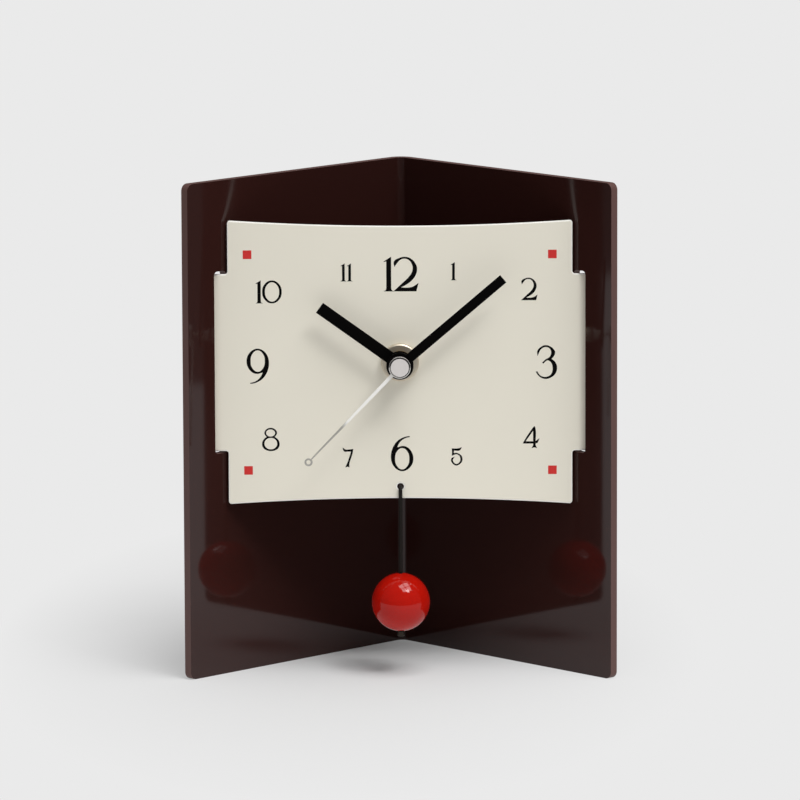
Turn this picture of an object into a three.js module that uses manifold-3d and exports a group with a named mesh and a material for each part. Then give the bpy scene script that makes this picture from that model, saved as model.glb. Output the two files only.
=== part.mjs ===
// Desk clock: a V-folded acrylic stand that holds a flat dial plate by two tabs, a quartz movement
// behind the dial, three hands in front of it and a ball pendulum that hangs free below.
// Millimetres. +Z is up, the dial faces -Y, and the origin is the middle of the footprint on the table.

import * as THREE from 'three';
import { mergeVertices } from 'three/addons/utils/BufferGeometryUtils.js';
import loadManifold from 'manifold-3d';

const wasm = await loadManifold();
wasm.setup();

// Clearances
const seatGap = 0.1; // flat faces that bear on each other
const fitGap = 0.15; // all round a pressed or located piece
const runGap = 0.3; // all round a turning piece
const cutOverrun = 1; // how far a cutting tool reaches past what it cuts
const joinOverlap = 0.1; // how far two joined forms run into each other

// Facets of round forms
const smallSides = 10;
const tubeSides = 16;
const edgeSides = 24;
const ballRings = 16;
const arcSteps = 3; // half the steps of a rounded corner
const holeSteps = tubeSides / 2; // half the sides of a hole
const wireBendSteps = 4;

// V-folded stand
const frameWidth = 150;
const frameHeight = 173.5;
const sheetThickness = 3;
const wingAngle = Math.PI / 4; // each wing from the middle plane
const bendRadius = 2.5; // inside of the fold
const wingCornerRadius = 2.5;

// Dial plate
const shaftHeight = 110; // of the hands' axis above the table
const dialSetback = 11.2; // behind the front ends of the wings
const dialDrop = 0.25; // middle of the plate below the shaft
const dialHeight = 99.3; // at its two ends
const dialEdgeSag = 1.95; // how far the top and bottom edges dip in the middle
const dialThickness = 1.2;
const dialCornerRadius = 1;
const dialShoulderGap = 0.8; // from each shoulder to the wing
const notchRadius = 0.9; // between each shoulder and its tab
const tabHeight = 62;
const tabProtrusion = 1.8; // past the outside of the wing
const slotEndGap = 0.9; // above and below the middle place of each tab
const slotCornerRadius = 1.4;

// Threaded bushing, nut and washer that clamp the movement to the dial
const bushingRadius = 4;
const bushingBore = 2.8;
const bushingFlangeRadius = 6;
const bushingFlangeThickness = 0.8;
const bushingProtrusion = 1.2; // in front of the nut
const nutRadius = 6.5;
const nutThickness = 2.2;
const nutChamfer = 0.4;
const washerRadius = 9;
const washerThickness = 0.8;

// Concentric shafts
const hourTubeRadius = 2.5;
const hourTubeBore = 1.8;
const minuteTubeRadius = 1.5;
const minuteTubeBore = 0.8;
const secondShaftRadius = 0.5;
const shaftProtrusion = 0.5; // each shaft past its hand
const hourHandLift = 2.2; // past the end of the bushing
const minuteHandLift = 2.6; // past the end of the hour tube
const secondHandLift = 1.6; // past the end of the minute tube

// Hands, with the angles clockwise from twelve
const handThickness = 0.6;
const handHubRadius = 4.7;
const hourHandLength = 34.1;
const hourHandWidth = 4.2;
const hourHandAngle = 305.7;
const minuteHandLength = 46.9;
const minuteHandWidth = 3.3;
const minuteHandAngle = 49.6;
const secondHandLength = 45.8; // to the middle of its end ring
const secondHandRootWidth = 1.3;
const secondHandTipWidth = 0.45;
const secondHandRingRadius = 1.4;
const secondHandRingBore = 0.75;
const secondHandHubRadius = 2.6;
const secondHandThickness = 0.4;
const secondHandAngle = 223.7;
const capRadius = 3.75;
const capHeight = 1.2;
const capChamfer = 0.4;
const capSocketDepth = 0.7;

// Battery and its bay
const batteryDiameter = 14.5;
const batteryLength = 50.5;
const batteryNubRadius = 2.75;
const batteryNubLength = 1.2;
const batteryEdgeRadius = 0.8;
const bayGap = 0.3;
const contactRoom = 1.35; // at each end of the battery
const contactThickness = 0.4;
const contactWidth = 8;
const contactDimpleRadius = 2;
const thumbNotchRadius = 7;

// Movement case
const caseFloor = 1.2;
const caseWall = 1.4;
const caseTop = 28; // above the shaft
const caseCornerRadius = 3;
const caseSplit = 8; // where the two halves meet, behind the front face
const dividerThickness = 1;
const wheelRoom = 0.65; // from the wheels to the divider
const pillarRadius = 1.6;
const pillarInset = 4; // from the inside of the case wall
const pillarDrop = 7; // lower pillars, below the shaft
const topPillarOffset = 2; // upper pillar, right of the shaft
const trainPlateThickness = 1;

// Wheel train: tooth counts, then distances and directions between arbors
const secondTeeth = 60;
const secondPinionTeeth = 8;
const thirdTeeth = 60;
const thirdPinionTeeth = 8;
const centreTeeth = 64;
const cannonTeeth = 10;
const minuteWorkTeeth = 30;
const minuteWorkPinionTeeth = 8;
const hourTeeth = 32;
const intermediateTeeth = 50;
const intermediatePinionTeeth = 10;
const rotorTeeth = 10;
const settingTeeth = 12;
const thirdDistance = 10.8;
const intermediateDistance = 11.2;
const rotorDistance = 9.6;
const minuteWorkDistance = 8.4;
const thirdDirection = 125; // degrees anticlockwise from three o'clock, seen from the front
const intermediateDirection = 35;
const rotorDirection = -15;
const minuteWorkDirection = 200;
const settingDirection = 165;
const wheelThickness = 1;
const layerGap = 0.4;
const pinionOverhang = 0.2;
const arborRadius = 0.5;
const arborPivotDepth = 0.7; // into the case floor
const arborEndGap = 0.2;
const minuteWorkPostRadius = 0.55;

// Tooth forms, in modules
const wheelTooth = { addendum: 0.75, dedendum: 1.2, tipWidth: 0.5, rootWidth: 1.75 };
const pinionTooth = { addendum: 0.75, dedendum: 1.15, tipWidth: 0.45, rootWidth: 1.15 };

// Time setting knob
const settingArborRadius = 1;
const knobRadius = 5;
const knobHeight = 3;
const knobRidges = 18;
const knobRidgeHeight = 0.4;
const knobFloor = 0.8;

// Stepping motor
const magnetRadius = 2.2;
const magnetLength = 2.6;
const statorThickness = 1;
const statorDepth = 4.3; // behind the front face of the case
const statorRim = 4.4; // from the rotor's axis to the edges of the pole block
const statorLegWidth = 3;
const motorWallGap = 0.6; // from the motor and the circuit board to the case walls
const coreWidth = 3.5;
const coreThickness = 1;
const coreLap = 3; // how far the core lies on the pole block
const coilRadius = 3.3;
const barrelWall = 0.5;
const bobbinFlange = 0.8;
const windingThickness = 1;
const motorPostRadius = 1.3;

// Circuit board
const boardWidth = 10;
const boardHeight = 18;
const boardThickness = 1;
const boardDepth = 3; // behind the front face of the case
const boardPostRadius = 1.2;
const boardPostInset = 2.5;
const chipRadius = 2.5;
const chipHeight = 1;
const chipInset = 6; // from the lower end of the board
const crystalRadius = 1;
const crystalLength = 6;
const crystalInset = 5; // from the upper end of the board

// Ball pendulum
const pendulumHoleRadius = 1.15;
const pendulumHoleInset = 4.1; // above the lower edge of the dial
const wireRadius = 0.65;
const wireSettle = 0.2; // how far the wire sits below the middle of its hole
const wireBendRadius = 1.2;
const hookLength = 5;
const ballRadius = 10.2;
const ballFloorGap = 15.4; // from the table to the ball
const ballBoreGap = 0.2;
const endNutRadius = 1.3;
const endNutHeight = 1.8;
const wireEndInset = 0.3; // wire short of the far face of its end nut

// Finishes
const smokedAcrylic = { color: 0x3a1d1a, roughness: 0.12 };
const creamDial = { color: 0xded9c6, roughness: 0.5 };
const turnedBrass = { color: 0xb59a5c, roughness: 0.35, metalness: 1 };
const platedNut = { color: 0xb9b09c, roughness: 0.3, metalness: 1 };
const blackRubber = { color: 0x1c1c1c, roughness: 0.9 };
const blackHand = { color: 0x0d0d0d, roughness: 0.4 };
const paleHand = { color: 0xe6e0de, roughness: 0.35, metalness: 0.3 };
const satinCap = { color: 0xd2cbca, roughness: 0.3, metalness: 0.6 };
const blackCase = { color: 0x202022, roughness: 0.55 };
const palePlastic = { color: 0xe8e4d8, roughness: 0.5 };
const sinteredMagnet = { color: 0x4a4a4c, roughness: 0.4, metalness: 0.8 };
const stampedIron = { color: 0x8c8c8c, roughness: 0.4, metalness: 1 };
const copperWinding = { color: 0xb4622d, roughness: 0.4, metalness: 0.8 };
const greenBoard = { color: 0x2c6b3c, roughness: 0.5 };
const blackResin = { color: 0x101010, roughness: 0.3 };
const drawnCan = { color: 0xc4c6c8, roughness: 0.3, metalness: 1 };
const batteryWrap = { color: 0x5d6a74, roughness: 0.35, metalness: 0.6 };
const nickelContact = { color: 0xc9c9c4, roughness: 0.3, metalness: 1 };
const blackWire = { color: 0x161412, roughness: 0.4, metalness: 0.6 };
const redGloss = { color: 0xb01818, roughness: 0.1 };

const turn = 2 * Math.PI;
const radians = THREE.MathUtils.degToRad;

// Plan of the V
const wingSin = Math.sin(wingAngle);
const wingCos = Math.cos(wingAngle);
const wingLength = (frameWidth / 2 - sheetThickness * wingCos) / wingSin;
const bendTangent = (bendRadius * wingCos) / wingSin;
const bendCentre = -bendRadius / wingSin;
const dialReach = wingLength * wingCos - dialSetback;
const wingInside = (reach) => (reach * wingSin) / wingCos;
const wingOutside = (reach) => wingInside(reach) + sheetThickness / wingCos;

// Levels along the clock's axis, forward of the dial's front face
const nutFront = seatGap + nutThickness;
const bushingFront = nutFront + bushingProtrusion;
const hourHandBack = bushingFront + hourHandLift;
const hourTubeFront = hourHandBack + handThickness + shaftProtrusion;
const minuteHandBack = hourTubeFront + minuteHandLift;
const minuteTubeFront = minuteHandBack + handThickness + shaftProtrusion;
const secondHandBack = minuteTubeFront + secondHandLift;
const secondHandFront = secondHandBack + secondHandThickness;
const secondShaftFront = secondHandFront + shaftProtrusion;
const capBack = secondHandFront + seatGap;
const capFront = capBack + capHeight;

// Levels behind the dial
const caseFront = -(dialThickness + seatGap + washerThickness + seatGap);
const inCase = (depth) => caseFront - depth;
const caseDepth = caseFloor + bayGap + batteryDiameter;
const flangeDepth = caseFloor + seatGap;
const trainDepth = flangeDepth + bushingFlangeThickness + layerGap;
const layerDepth = (layer) => trainDepth + layer * (wheelThickness + layerGap);
const HOUR_LAYER = 0;
const MINUTE_WORK_LAYER = 1;
const CENTRE_LAYER = 2;
const THIRD_LAYER = 3;
const SECOND_LAYER = 4;
const INTERMEDIATE_LAYER = 5;
const TRAIN_PLATE_LAYER = 6;
const trainPlateDepth = layerDepth(TRAIN_PLATE_LAYER);
const trainPlateBack = trainPlateDepth + trainPlateThickness;
const arborFrontDepth = caseFloor - arborPivotDepth + arborEndGap;
const arborBackDepth = trainPlateBack - arborEndGap;

// Arbors of the train, seen from the front with the shaft at the middle
const polar = (distance, degrees) =>
  new THREE.Vector2(distance * Math.cos(radians(degrees)), distance * Math.sin(radians(degrees)));
const shaftAxis = new THREE.Vector2(0, 0);
const thirdAxis = polar(thirdDistance, thirdDirection);
const intermediateAxis = polar(intermediateDistance, intermediateDirection);
const rotorAxis = polar(rotorDistance, rotorDirection).add(intermediateAxis);
const minuteWorkAxis = polar(minuteWorkDistance, minuteWorkDirection);
const pairModule = (distance, teethA, teethB) => (2 * distance) / (teethA + teethB);
const thirdModule = pairModule(thirdDistance, secondPinionTeeth, thirdTeeth);
const centreModule = pairModule(thirdDistance, thirdPinionTeeth, centreTeeth);
const secondModule = pairModule(intermediateDistance, secondTeeth, intermediatePinionTeeth);
const rotorModule = pairModule(rotorDistance, intermediateTeeth, rotorTeeth);
const minuteWorkModule = pairModule(minuteWorkDistance, cannonTeeth, minuteWorkTeeth);
const hourModule = pairModule(minuteWorkDistance, minuteWorkPinionTeeth, hourTeeth);
const settingDistance = (minuteWorkModule * (minuteWorkTeeth + settingTeeth)) / 2;
const settingAxis = polar(settingDistance, settingDirection).add(minuteWorkAxis);
const tipRadius = (teeth, module, form) => module * (teeth / 2 + form.addendum);

// Outline of the case
const lowestWheel = Math.max(
  tipRadius(centreTeeth, centreModule, wheelTooth),
  tipRadius(secondTeeth, secondModule, wheelTooth),
  tipRadius(minuteWorkTeeth, minuteWorkModule, wheelTooth) - minuteWorkAxis.y,
);
const dividerTop = -(lowestWheel + wheelRoom);
const dividerBottom = dividerTop - dividerThickness;
const batteryAxisY = dividerBottom - bayGap - batteryDiameter / 2;
const caseBottom = batteryAxisY - batteryDiameter / 2 - bayGap - caseWall;
const caseHalfWidth = batteryLength / 2 + contactRoom + caseWall;
const innerHalfWidth = caseHalfWidth - caseWall;
const innerTop = caseTop - caseWall;

// Motor and circuit board, set out from the case walls
const coilAxisX = innerHalfWidth - motorWallGap - coilRadius;
const motorRight = coilAxisX + coreWidth / 2;
const motorLeft = rotorAxis.x - statorRim;
const motorTop = innerTop - motorWallGap;
const motorBottom = rotorAxis.y - statorRim;
const poleTop = rotorAxis.y + statorRim;
const coreDepth = statorDepth + statorThickness + seatGap;
const boardLeft = -innerHalfWidth + motorWallGap;
const boardBottom = motorTop - boardHeight;

// Pendulum
const dialLowerEdge = dialEdgeSag - dialHeight / 2 - dialDrop;
const pendulumHoleY = dialLowerEdge + pendulumHoleInset;
const pendulumY = pendulumHoleY - wireSettle;
const ballY = ballFloorGap + ballRadius - shaftHeight;
const wireFrontZ = runGap + wireRadius;
const wireBackZ = -(dialThickness + runGap + wireRadius);

// Place of the whole clock: its footprint is centred on the origin
const frontReach = Math.max(wingLength * wingCos, dialReach + capFront);
const backReach = bendCentre + bendRadius + sheetThickness;
const foldY = (frontReach - backReach) / 2;

// A closed geometry as a solid for joining and cutting, facing out
function solid(geometry) {
  const bare = geometry.clone();
  bare.deleteAttribute('normal');
  bare.deleteAttribute('uv');
  const merged = mergeVertices(bare);
  const points = merged.getAttribute('position');
  const triangles = [];
  let volume = 0;
  const [a, b, c] = [new THREE.Vector3(), new THREE.Vector3(), new THREE.Vector3()];
  for (let i = 0; i < merged.index.count; i += 3) {
    const corners = [merged.index.getX(i), merged.index.getX(i + 1), merged.index.getX(i + 2)];
    if (new Set(corners).size < 3) continue;
    a.fromBufferAttribute(points, corners[0]);
    b.fromBufferAttribute(points, corners[1]);
    c.fromBufferAttribute(points, corners[2]);
    volume += a.dot(b.cross(c));
    triangles.push(corners);
  }
  const flipped = ([first, second, third]) => [first, third, second];
  const facingOut = volume > 0 ? triangles : triangles.map(flipped);
  return new wasm.Manifold(
    new wasm.Mesh({
      numProp: 3,
      vertProperties: Float32Array.from(points.array),
      triVerts: Uint32Array.from(facingOut.flat()),
    }),
  );
}

const join = (...geometries) => geometries.map(solid).reduce((body, next) => body.add(next));
const cut = (body, ...tools) => tools.map(solid).reduce((rest, tool) => rest.subtract(tool), body);

// A solid as a named mesh with its own material
function piece(name, body, finish) {
  const { vertProperties, triVerts } = body.getMesh();
  const geometry = new THREE.BufferGeometry();
  geometry.setAttribute('position', new THREE.BufferAttribute(Float32Array.from(vertProperties), 3));
  geometry.setIndex(new THREE.BufferAttribute(Uint32Array.from(triVerts), 1));
  geometry.computeVertexNormals();
  const mesh = new THREE.Mesh(geometry, new THREE.MeshStandardMaterial(finish));
  mesh.name = name;
  return mesh;
}

// A flat shape given thickness from one level to another
function slab(shape, back, front, curveSegments = arcSteps) {
  const settings = { depth: front - back, bevelEnabled: false, curveSegments };
  return new THREE.ExtrudeGeometry(shape, settings).translate(0, 0, back);
}

// A solid round bar along the clock's axis
function rod(radius, back, front, centre = shaftAxis, sides = smallSides) {
  const bar = new THREE.CylinderGeometry(radius, radius, front - back, sides);
  return bar.rotateX(Math.PI / 2).translate(centre.x, centre.y, (front + back) / 2);
}

// A form turned about the clock's axis from [radius, level] corners that close on themselves
function turned(corners, sides = tubeSides) {
  const profile = [...corners, corners[0]].map(([radius, level]) => new THREE.Vector2(radius, level));
  return new THREE.LatheGeometry(profile, sides).rotateX(Math.PI / 2);
}

const ring = (outer, inner, back, front, sides = tubeSides) =>
  turned([[inner, back], [outer, back], [outer, front], [inner, front]], sides);

function box(left, bottom, right, top, back, front) {
  const block = new THREE.BoxGeometry(right - left, top - bottom, front - back);
  return block.translate((left + right) / 2, (bottom + top) / 2, (back + front) / 2);
}

function outline(points) {
  return new THREE.Shape(points.map(([x, y]) => new THREE.Vector2(x, y)));
}

function roundedRectangle(left, bottom, right, top, radius) {
  const shape = new THREE.Shape();
  shape.absarc(right - radius, bottom + radius, radius, -turn / 4, 0);
  shape.absarc(right - radius, top - radius, radius, 0, turn / 4);
  shape.absarc(left + radius, top - radius, radius, turn / 4, turn / 2);
  shape.absarc(left + radius, bottom + radius, radius, turn / 2, (3 * turn) / 4);
  return shape;
}

function circle(centre, radius) {
  const path = new THREE.Path();
  path.absarc(centre.x, centre.y, radius, 0, turn);
  return path;
}

// A toothed disc between two levels, with the middle of one tooth at the angle phase
function gear({ teeth, module, form, phase, axis, back, front, bore = 0 }) {
  const tip = tipRadius(teeth, module, form);
  const root = module * (teeth / 2 - form.dedendum);
  const tipHalfAngle = (module * form.tipWidth) / 2 / tip;
  const rootHalfAngle = (module * form.rootWidth) / 2 / root;
  const at = (radius, angle) => [axis.x + radius * Math.cos(angle), axis.y + radius * Math.sin(angle)];
  const points = [];
  for (let tooth = 0; tooth < teeth; tooth += 1) {
    const middle = phase + (tooth * turn) / teeth;
    points.push(at(root, middle - rootHalfAngle));
    points.push(at(tip, middle - tipHalfAngle));
    points.push(at(tip, middle + tipHalfAngle));
    points.push(at(root, middle + rootHalfAngle));
  }
  const shape = outline(points);
  if (bore > 0) shape.holes.push(circle(axis, bore));
  return slab(shape, back, front, holeSteps);
}

// The angle of a tooth on a second gear that puts it in mesh with a first
function meshPhase(first, second) {
  const line = Math.atan2(second.axis.y - first.axis.y, second.axis.x - first.axis.x);
  return line + turn / 2 - (turn / 2 - first.teeth * (line - first.phase)) / second.teeth;
}

// Gears of the train, each set in mesh with the one that drives it or that it drives
const layerSpan = (layer) => ({
  back: inCase(layerDepth(layer) + wheelThickness),
  front: inCase(layerDepth(layer)),
});
const pinionSpan = (layer) => ({
  back: inCase(layerDepth(layer + 1) + joinOverlap),
  front: inCase(layerDepth(layer) - pinionOverhang),
});
const secondWheelGear = {
  teeth: secondTeeth, module: secondModule, form: wheelTooth, phase: 0, axis: shaftAxis,
  ...layerSpan(SECOND_LAYER),
};
const secondPinionGear = {
  teeth: secondPinionTeeth, module: thirdModule, form: pinionTooth, phase: 0, axis: shaftAxis,
  ...pinionSpan(THIRD_LAYER),
};
const thirdWheelGear = {
  teeth: thirdTeeth, module: thirdModule, form: wheelTooth, axis: thirdAxis, ...layerSpan(THIRD_LAYER),
};
thirdWheelGear.phase = meshPhase(secondPinionGear, thirdWheelGear);
const thirdPinionGear = {
  teeth: thirdPinionTeeth, module: centreModule, form: pinionTooth, phase: 0, axis: thirdAxis,
  ...pinionSpan(CENTRE_LAYER),
};
const centreWheelGear = {
  teeth: centreTeeth, module: centreModule, form: wheelTooth, axis: shaftAxis, bore: minuteTubeBore,
  ...layerSpan(CENTRE_LAYER),
};
centreWheelGear.phase = meshPhase(thirdPinionGear, centreWheelGear);
const cannonGear = {
  teeth: cannonTeeth, module: minuteWorkModule, form: pinionTooth, phase: 0, axis: shaftAxis,
  bore: minuteTubeBore, ...pinionSpan(MINUTE_WORK_LAYER),
};
const minuteWorkWheelGear = {
  teeth: minuteWorkTeeth, module: minuteWorkModule, form: wheelTooth, axis: minuteWorkAxis,
  bore: minuteWorkPostRadius + runGap, ...layerSpan(MINUTE_WORK_LAYER),
};
minuteWorkWheelGear.phase = meshPhase(cannonGear, minuteWorkWheelGear);
const minuteWorkPinionGear = {
  teeth: minuteWorkPinionTeeth, module: hourModule, form: pinionTooth, phase: 0, axis: minuteWorkAxis,
  bore: minuteWorkPostRadius + runGap, ...pinionSpan(HOUR_LAYER),
};
const hourWheelGear = {
  teeth: hourTeeth, module: hourModule, form: wheelTooth, axis: shaftAxis, bore: hourTubeBore,
  ...layerSpan(HOUR_LAYER),
};
hourWheelGear.phase = meshPhase(minuteWorkPinionGear, hourWheelGear);
const settingGear = {
  teeth: settingTeeth, module: minuteWorkModule, form: pinionTooth, axis: settingAxis,
  ...pinionSpan(MINUTE_WORK_LAYER),
};
settingGear.phase = meshPhase(minuteWorkWheelGear, settingGear);
const intermediatePinionGear = {
  teeth: intermediatePinionTeeth, module: secondModule, form: pinionTooth, axis: intermediateAxis,
  ...pinionSpan(SECOND_LAYER),
};
intermediatePinionGear.phase = meshPhase(secondWheelGear, intermediatePinionGear);
const intermediateWheelGear = {
  teeth: intermediateTeeth, module: rotorModule, form: wheelTooth, phase: 0, axis: intermediateAxis,
  ...layerSpan(INTERMEDIATE_LAYER),
};
const rotorGear = {
  teeth: rotorTeeth, module: rotorModule, form: pinionTooth, axis: rotorAxis,
  back: inCase(layerDepth(INTERMEDIATE_LAYER) + wheelThickness + pinionOverhang),
  front: inCase(layerDepth(INTERMEDIATE_LAYER) - pinionOverhang),
};
rotorGear.phase = meshPhase(intermediateWheelGear, rotorGear);

// An arbor that turns between the case floor and the train plate
const arbor = (axis) => rod(arborRadius, inCase(arborBackDepth), inCase(arborFrontDepth), axis);

// The V: one sheet bent at the fold, with rounded free corners and a slot for each dial tab
function buildFrame() {
  const plan = new THREE.Shape();
  const wing = (side, along, out) =>
    [side * (along * wingSin + out * wingCos), out * wingSin - along * wingCos];
  plan.moveTo(...wing(1, wingLength, 0));
  plan.lineTo(...wing(1, wingLength, sheetThickness));
  plan.lineTo(...wing(1, bendTangent, sheetThickness));
  plan.absarc(0, bendCentre, bendRadius + sheetThickness, wingAngle, turn / 2 - wingAngle, false);
  plan.lineTo(...wing(-1, wingLength, sheetThickness));
  plan.lineTo(...wing(-1, wingLength, 0));
  plan.lineTo(...wing(-1, bendTangent, 0));
  plan.absarc(0, bendCentre, bendRadius, turn / 2 - wingAngle, wingAngle, true);
  const sheet = solid(slab(plan, 0, frameHeight));

  // Sets a flat cutting outline, drawn along the wing and up, square through one wing
  const throughWing = (shape, side) => {
    const along = new THREE.Vector3(side * wingSin, -wingCos, 0);
    const up = new THREE.Vector3(0, 0, 1);
    const across = new THREE.Vector3().crossVectors(along, up);
    const middle = new THREE.Vector3(side * wingCos, wingSin, 0).multiplyScalar(sheetThickness / 2);
    const reach = sheetThickness / 2 + cutOverrun;
    const pose = new THREE.Matrix4().makeBasis(along, up, across).setPosition(middle);
    return slab(shape, -reach, reach).applyMatrix4(pose);
  };

  // What a rounded corner takes off the free end of a wing, at its foot or its head
  const cornerWaste = (level, inward) => {
    const waste = new THREE.Shape();
    waste.moveTo(wingLength + cutOverrun, level - inward * cutOverrun);
    waste.lineTo(wingLength + cutOverrun, level + inward * wingCornerRadius);
    waste.lineTo(wingLength, level + inward * wingCornerRadius);
    waste.absarc(
      wingLength - wingCornerRadius, level + inward * wingCornerRadius, wingCornerRadius,
      0, -inward * (turn / 4), inward > 0,
    );
    waste.lineTo(wingLength - wingCornerRadius, level - inward * cutOverrun);
    return waste;
  };

  const slotInner = (dialReach - dialThickness - runGap) / wingCos;
  const slotOuter = (dialReach + runGap + sheetThickness * wingSin) / wingCos;
  const slotHalfHeight = tabHeight / 2 + slotEndGap;
  const slotLow = shaftHeight - slotHalfHeight;
  const slotHigh = shaftHeight + slotHalfHeight;
  const slot = roundedRectangle(slotInner, slotLow, slotOuter, slotHigh, slotCornerRadius);
  const tools = [1, -1].flatMap((side) =>
    [cornerWaste(0, 1), cornerWaste(frameHeight, -1), slot].map((shape) => throughWing(shape, side)));
  return piece('v_frame', cut(sheet, ...tools), smokedAcrylic);
}

// The dial: a flat plate with dipped long edges and a tab on each side that goes through the V
function buildDial() {
  const halfWidth = wingInside(dialReach - dialThickness) - dialShoulderGap;
  const tabEnd = wingOutside(dialReach) + tabProtrusion;
  const [tabLow, tabHigh] = [-dialDrop - tabHeight / 2, -dialDrop + tabHeight / 2];
  const [low, high] = [-dialDrop - dialHeight / 2, -dialDrop + dialHeight / 2];
  const round = dialCornerRadius;
  const notch = notchRadius;
  const plate = new THREE.Shape();
  plate.moveTo(-halfWidth + round, low);
  plate.quadraticCurveTo(0, low + 2 * dialEdgeSag, halfWidth - round, low);
  plate.quadraticCurveTo(halfWidth, low, halfWidth, low + round);
  plate.lineTo(halfWidth, tabLow - notch);
  plate.quadraticCurveTo(halfWidth, tabLow, halfWidth + notch, tabLow);
  plate.lineTo(tabEnd - round, tabLow);
  plate.quadraticCurveTo(tabEnd, tabLow, tabEnd, tabLow + round);
  plate.lineTo(tabEnd, tabHigh - round);
  plate.quadraticCurveTo(tabEnd, tabHigh, tabEnd - round, tabHigh);
  plate.lineTo(halfWidth + notch, tabHigh);
  plate.quadraticCurveTo(halfWidth, tabHigh, halfWidth, tabHigh + notch);
  plate.lineTo(halfWidth, high - round);
  plate.quadraticCurveTo(halfWidth, high, halfWidth - round, high);
  plate.quadraticCurveTo(0, high - 2 * dialEdgeSag, -halfWidth + round, high);
  plate.quadraticCurveTo(-halfWidth, high, -halfWidth, high - round);
  plate.lineTo(-halfWidth, tabHigh + notch);
  plate.quadraticCurveTo(-halfWidth, tabHigh, -halfWidth - notch, tabHigh);
  plate.lineTo(-tabEnd + round, tabHigh);
  plate.quadraticCurveTo(-tabEnd, tabHigh, -tabEnd, tabHigh - round);
  plate.lineTo(-tabEnd, tabLow + round);
  plate.quadraticCurveTo(-tabEnd, tabLow, -tabEnd + round, tabLow);
  plate.lineTo(-halfWidth - notch, tabLow);
  plate.quadraticCurveTo(-halfWidth, tabLow, -halfWidth, tabLow - notch);
  plate.lineTo(-halfWidth, low + round);
  plate.quadraticCurveTo(-halfWidth, low, -halfWidth + round, low);
  plate.holes.push(circle(shaftAxis, bushingRadius + runGap));
  plate.holes.push(circle(new THREE.Vector2(0, pendulumHoleY), pendulumHoleRadius));
  return piece('dial_plate', solid(slab(plate, -dialThickness, 0, holeSteps)), creamDial);
}

// What clamps the movement to the dial
function buildClamp() {
  const flangeBack = inCase(flangeDepth + bushingFlangeThickness);
  const bushing = turned([
    [bushingBore, flangeBack], [bushingFlangeRadius, flangeBack],
    [bushingFlangeRadius, inCase(flangeDepth)], [bushingRadius, inCase(flangeDepth)],
    [bushingRadius, bushingFront], [bushingBore, bushingFront],
  ]);
  const nutBore = bushingRadius + fitGap;
  const nut = turned([
    [nutBore, seatGap], [nutRadius, seatGap], [nutRadius, nutFront - nutChamfer],
    [nutRadius - nutChamfer, nutFront], [nutBore, nutFront],
  ], edgeSides);
  const washerBack = -(dialThickness + seatGap + washerThickness);
  const washer = ring(washerRadius, bushingRadius + runGap, washerBack, -(dialThickness + seatGap));
  return [
    piece('threaded_bushing', solid(bushing), turnedBrass),
    piece('dial_nut', solid(nut), platedNut),
    piece('rubber_washer', solid(washer), blackRubber),
  ];
}

// A straight hand with a round hub, turned clockwise to the hour it shows
function barHand(length, width, boreRadius, back, clockwise) {
  const blade = box(-width / 2, 0, width / 2, length, back, back + handThickness);
  const hub = rod(handHubRadius, back, back + handThickness, shaftAxis, edgeSides);
  const bore = rod(boreRadius, back - cutOverrun, back + handThickness + cutOverrun, shaftAxis, tubeSides);
  return cut(join(blade, hub), bore).rotate([0, 0, -clockwise]);
}

function buildHands() {
  const hourHand = barHand(
    hourHandLength, hourHandWidth, hourTubeRadius + fitGap, hourHandBack, hourHandAngle,
  );
  const minuteHand = barHand(
    minuteHandLength, minuteHandWidth, minuteTubeRadius + fitGap, minuteHandBack, minuteHandAngle,
  );
  const needle = outline([
    [-secondHandRootWidth / 2, 0], [secondHandRootWidth / 2, 0],
    [secondHandTipWidth / 2, secondHandLength], [-secondHandTipWidth / 2, secondHandLength],
  ]);
  const ringAxis = new THREE.Vector2(0, secondHandLength);
  const [cutBack, cutFront] = [secondHandBack - cutOverrun, secondHandFront + cutOverrun];
  const secondHand = cut(
    join(
      slab(needle, secondHandBack, secondHandFront),
      rod(secondHandHubRadius, secondHandBack, secondHandFront, shaftAxis, tubeSides),
      rod(secondHandRingRadius, secondHandBack, secondHandFront, ringAxis, tubeSides),
    ),
    rod(secondShaftRadius + fitGap, cutBack, cutFront),
    rod(secondHandRingBore, cutBack, cutFront, ringAxis, tubeSides),
  ).rotate([0, 0, -secondHandAngle]);
  const socketRadius = secondShaftRadius + fitGap;
  const cap = new THREE.LatheGeometry([
    new THREE.Vector2(0, capBack + capSocketDepth), new THREE.Vector2(socketRadius, capBack + capSocketDepth),
    new THREE.Vector2(socketRadius, capBack), new THREE.Vector2(capRadius, capBack),
    new THREE.Vector2(capRadius, capFront - capChamfer), new THREE.Vector2(capRadius - capChamfer, capFront),
    new THREE.Vector2(0, capFront),
  ], edgeSides).rotateX(Math.PI / 2);
  return [
    piece('hour_hand', hourHand, blackHand),
    piece('minute_hand', minuteHand, blackHand),
    piece('second_hand', secondHand, paleHand),
    piece('second_hand_cap', solid(cap), satinCap),
  ];
}

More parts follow.
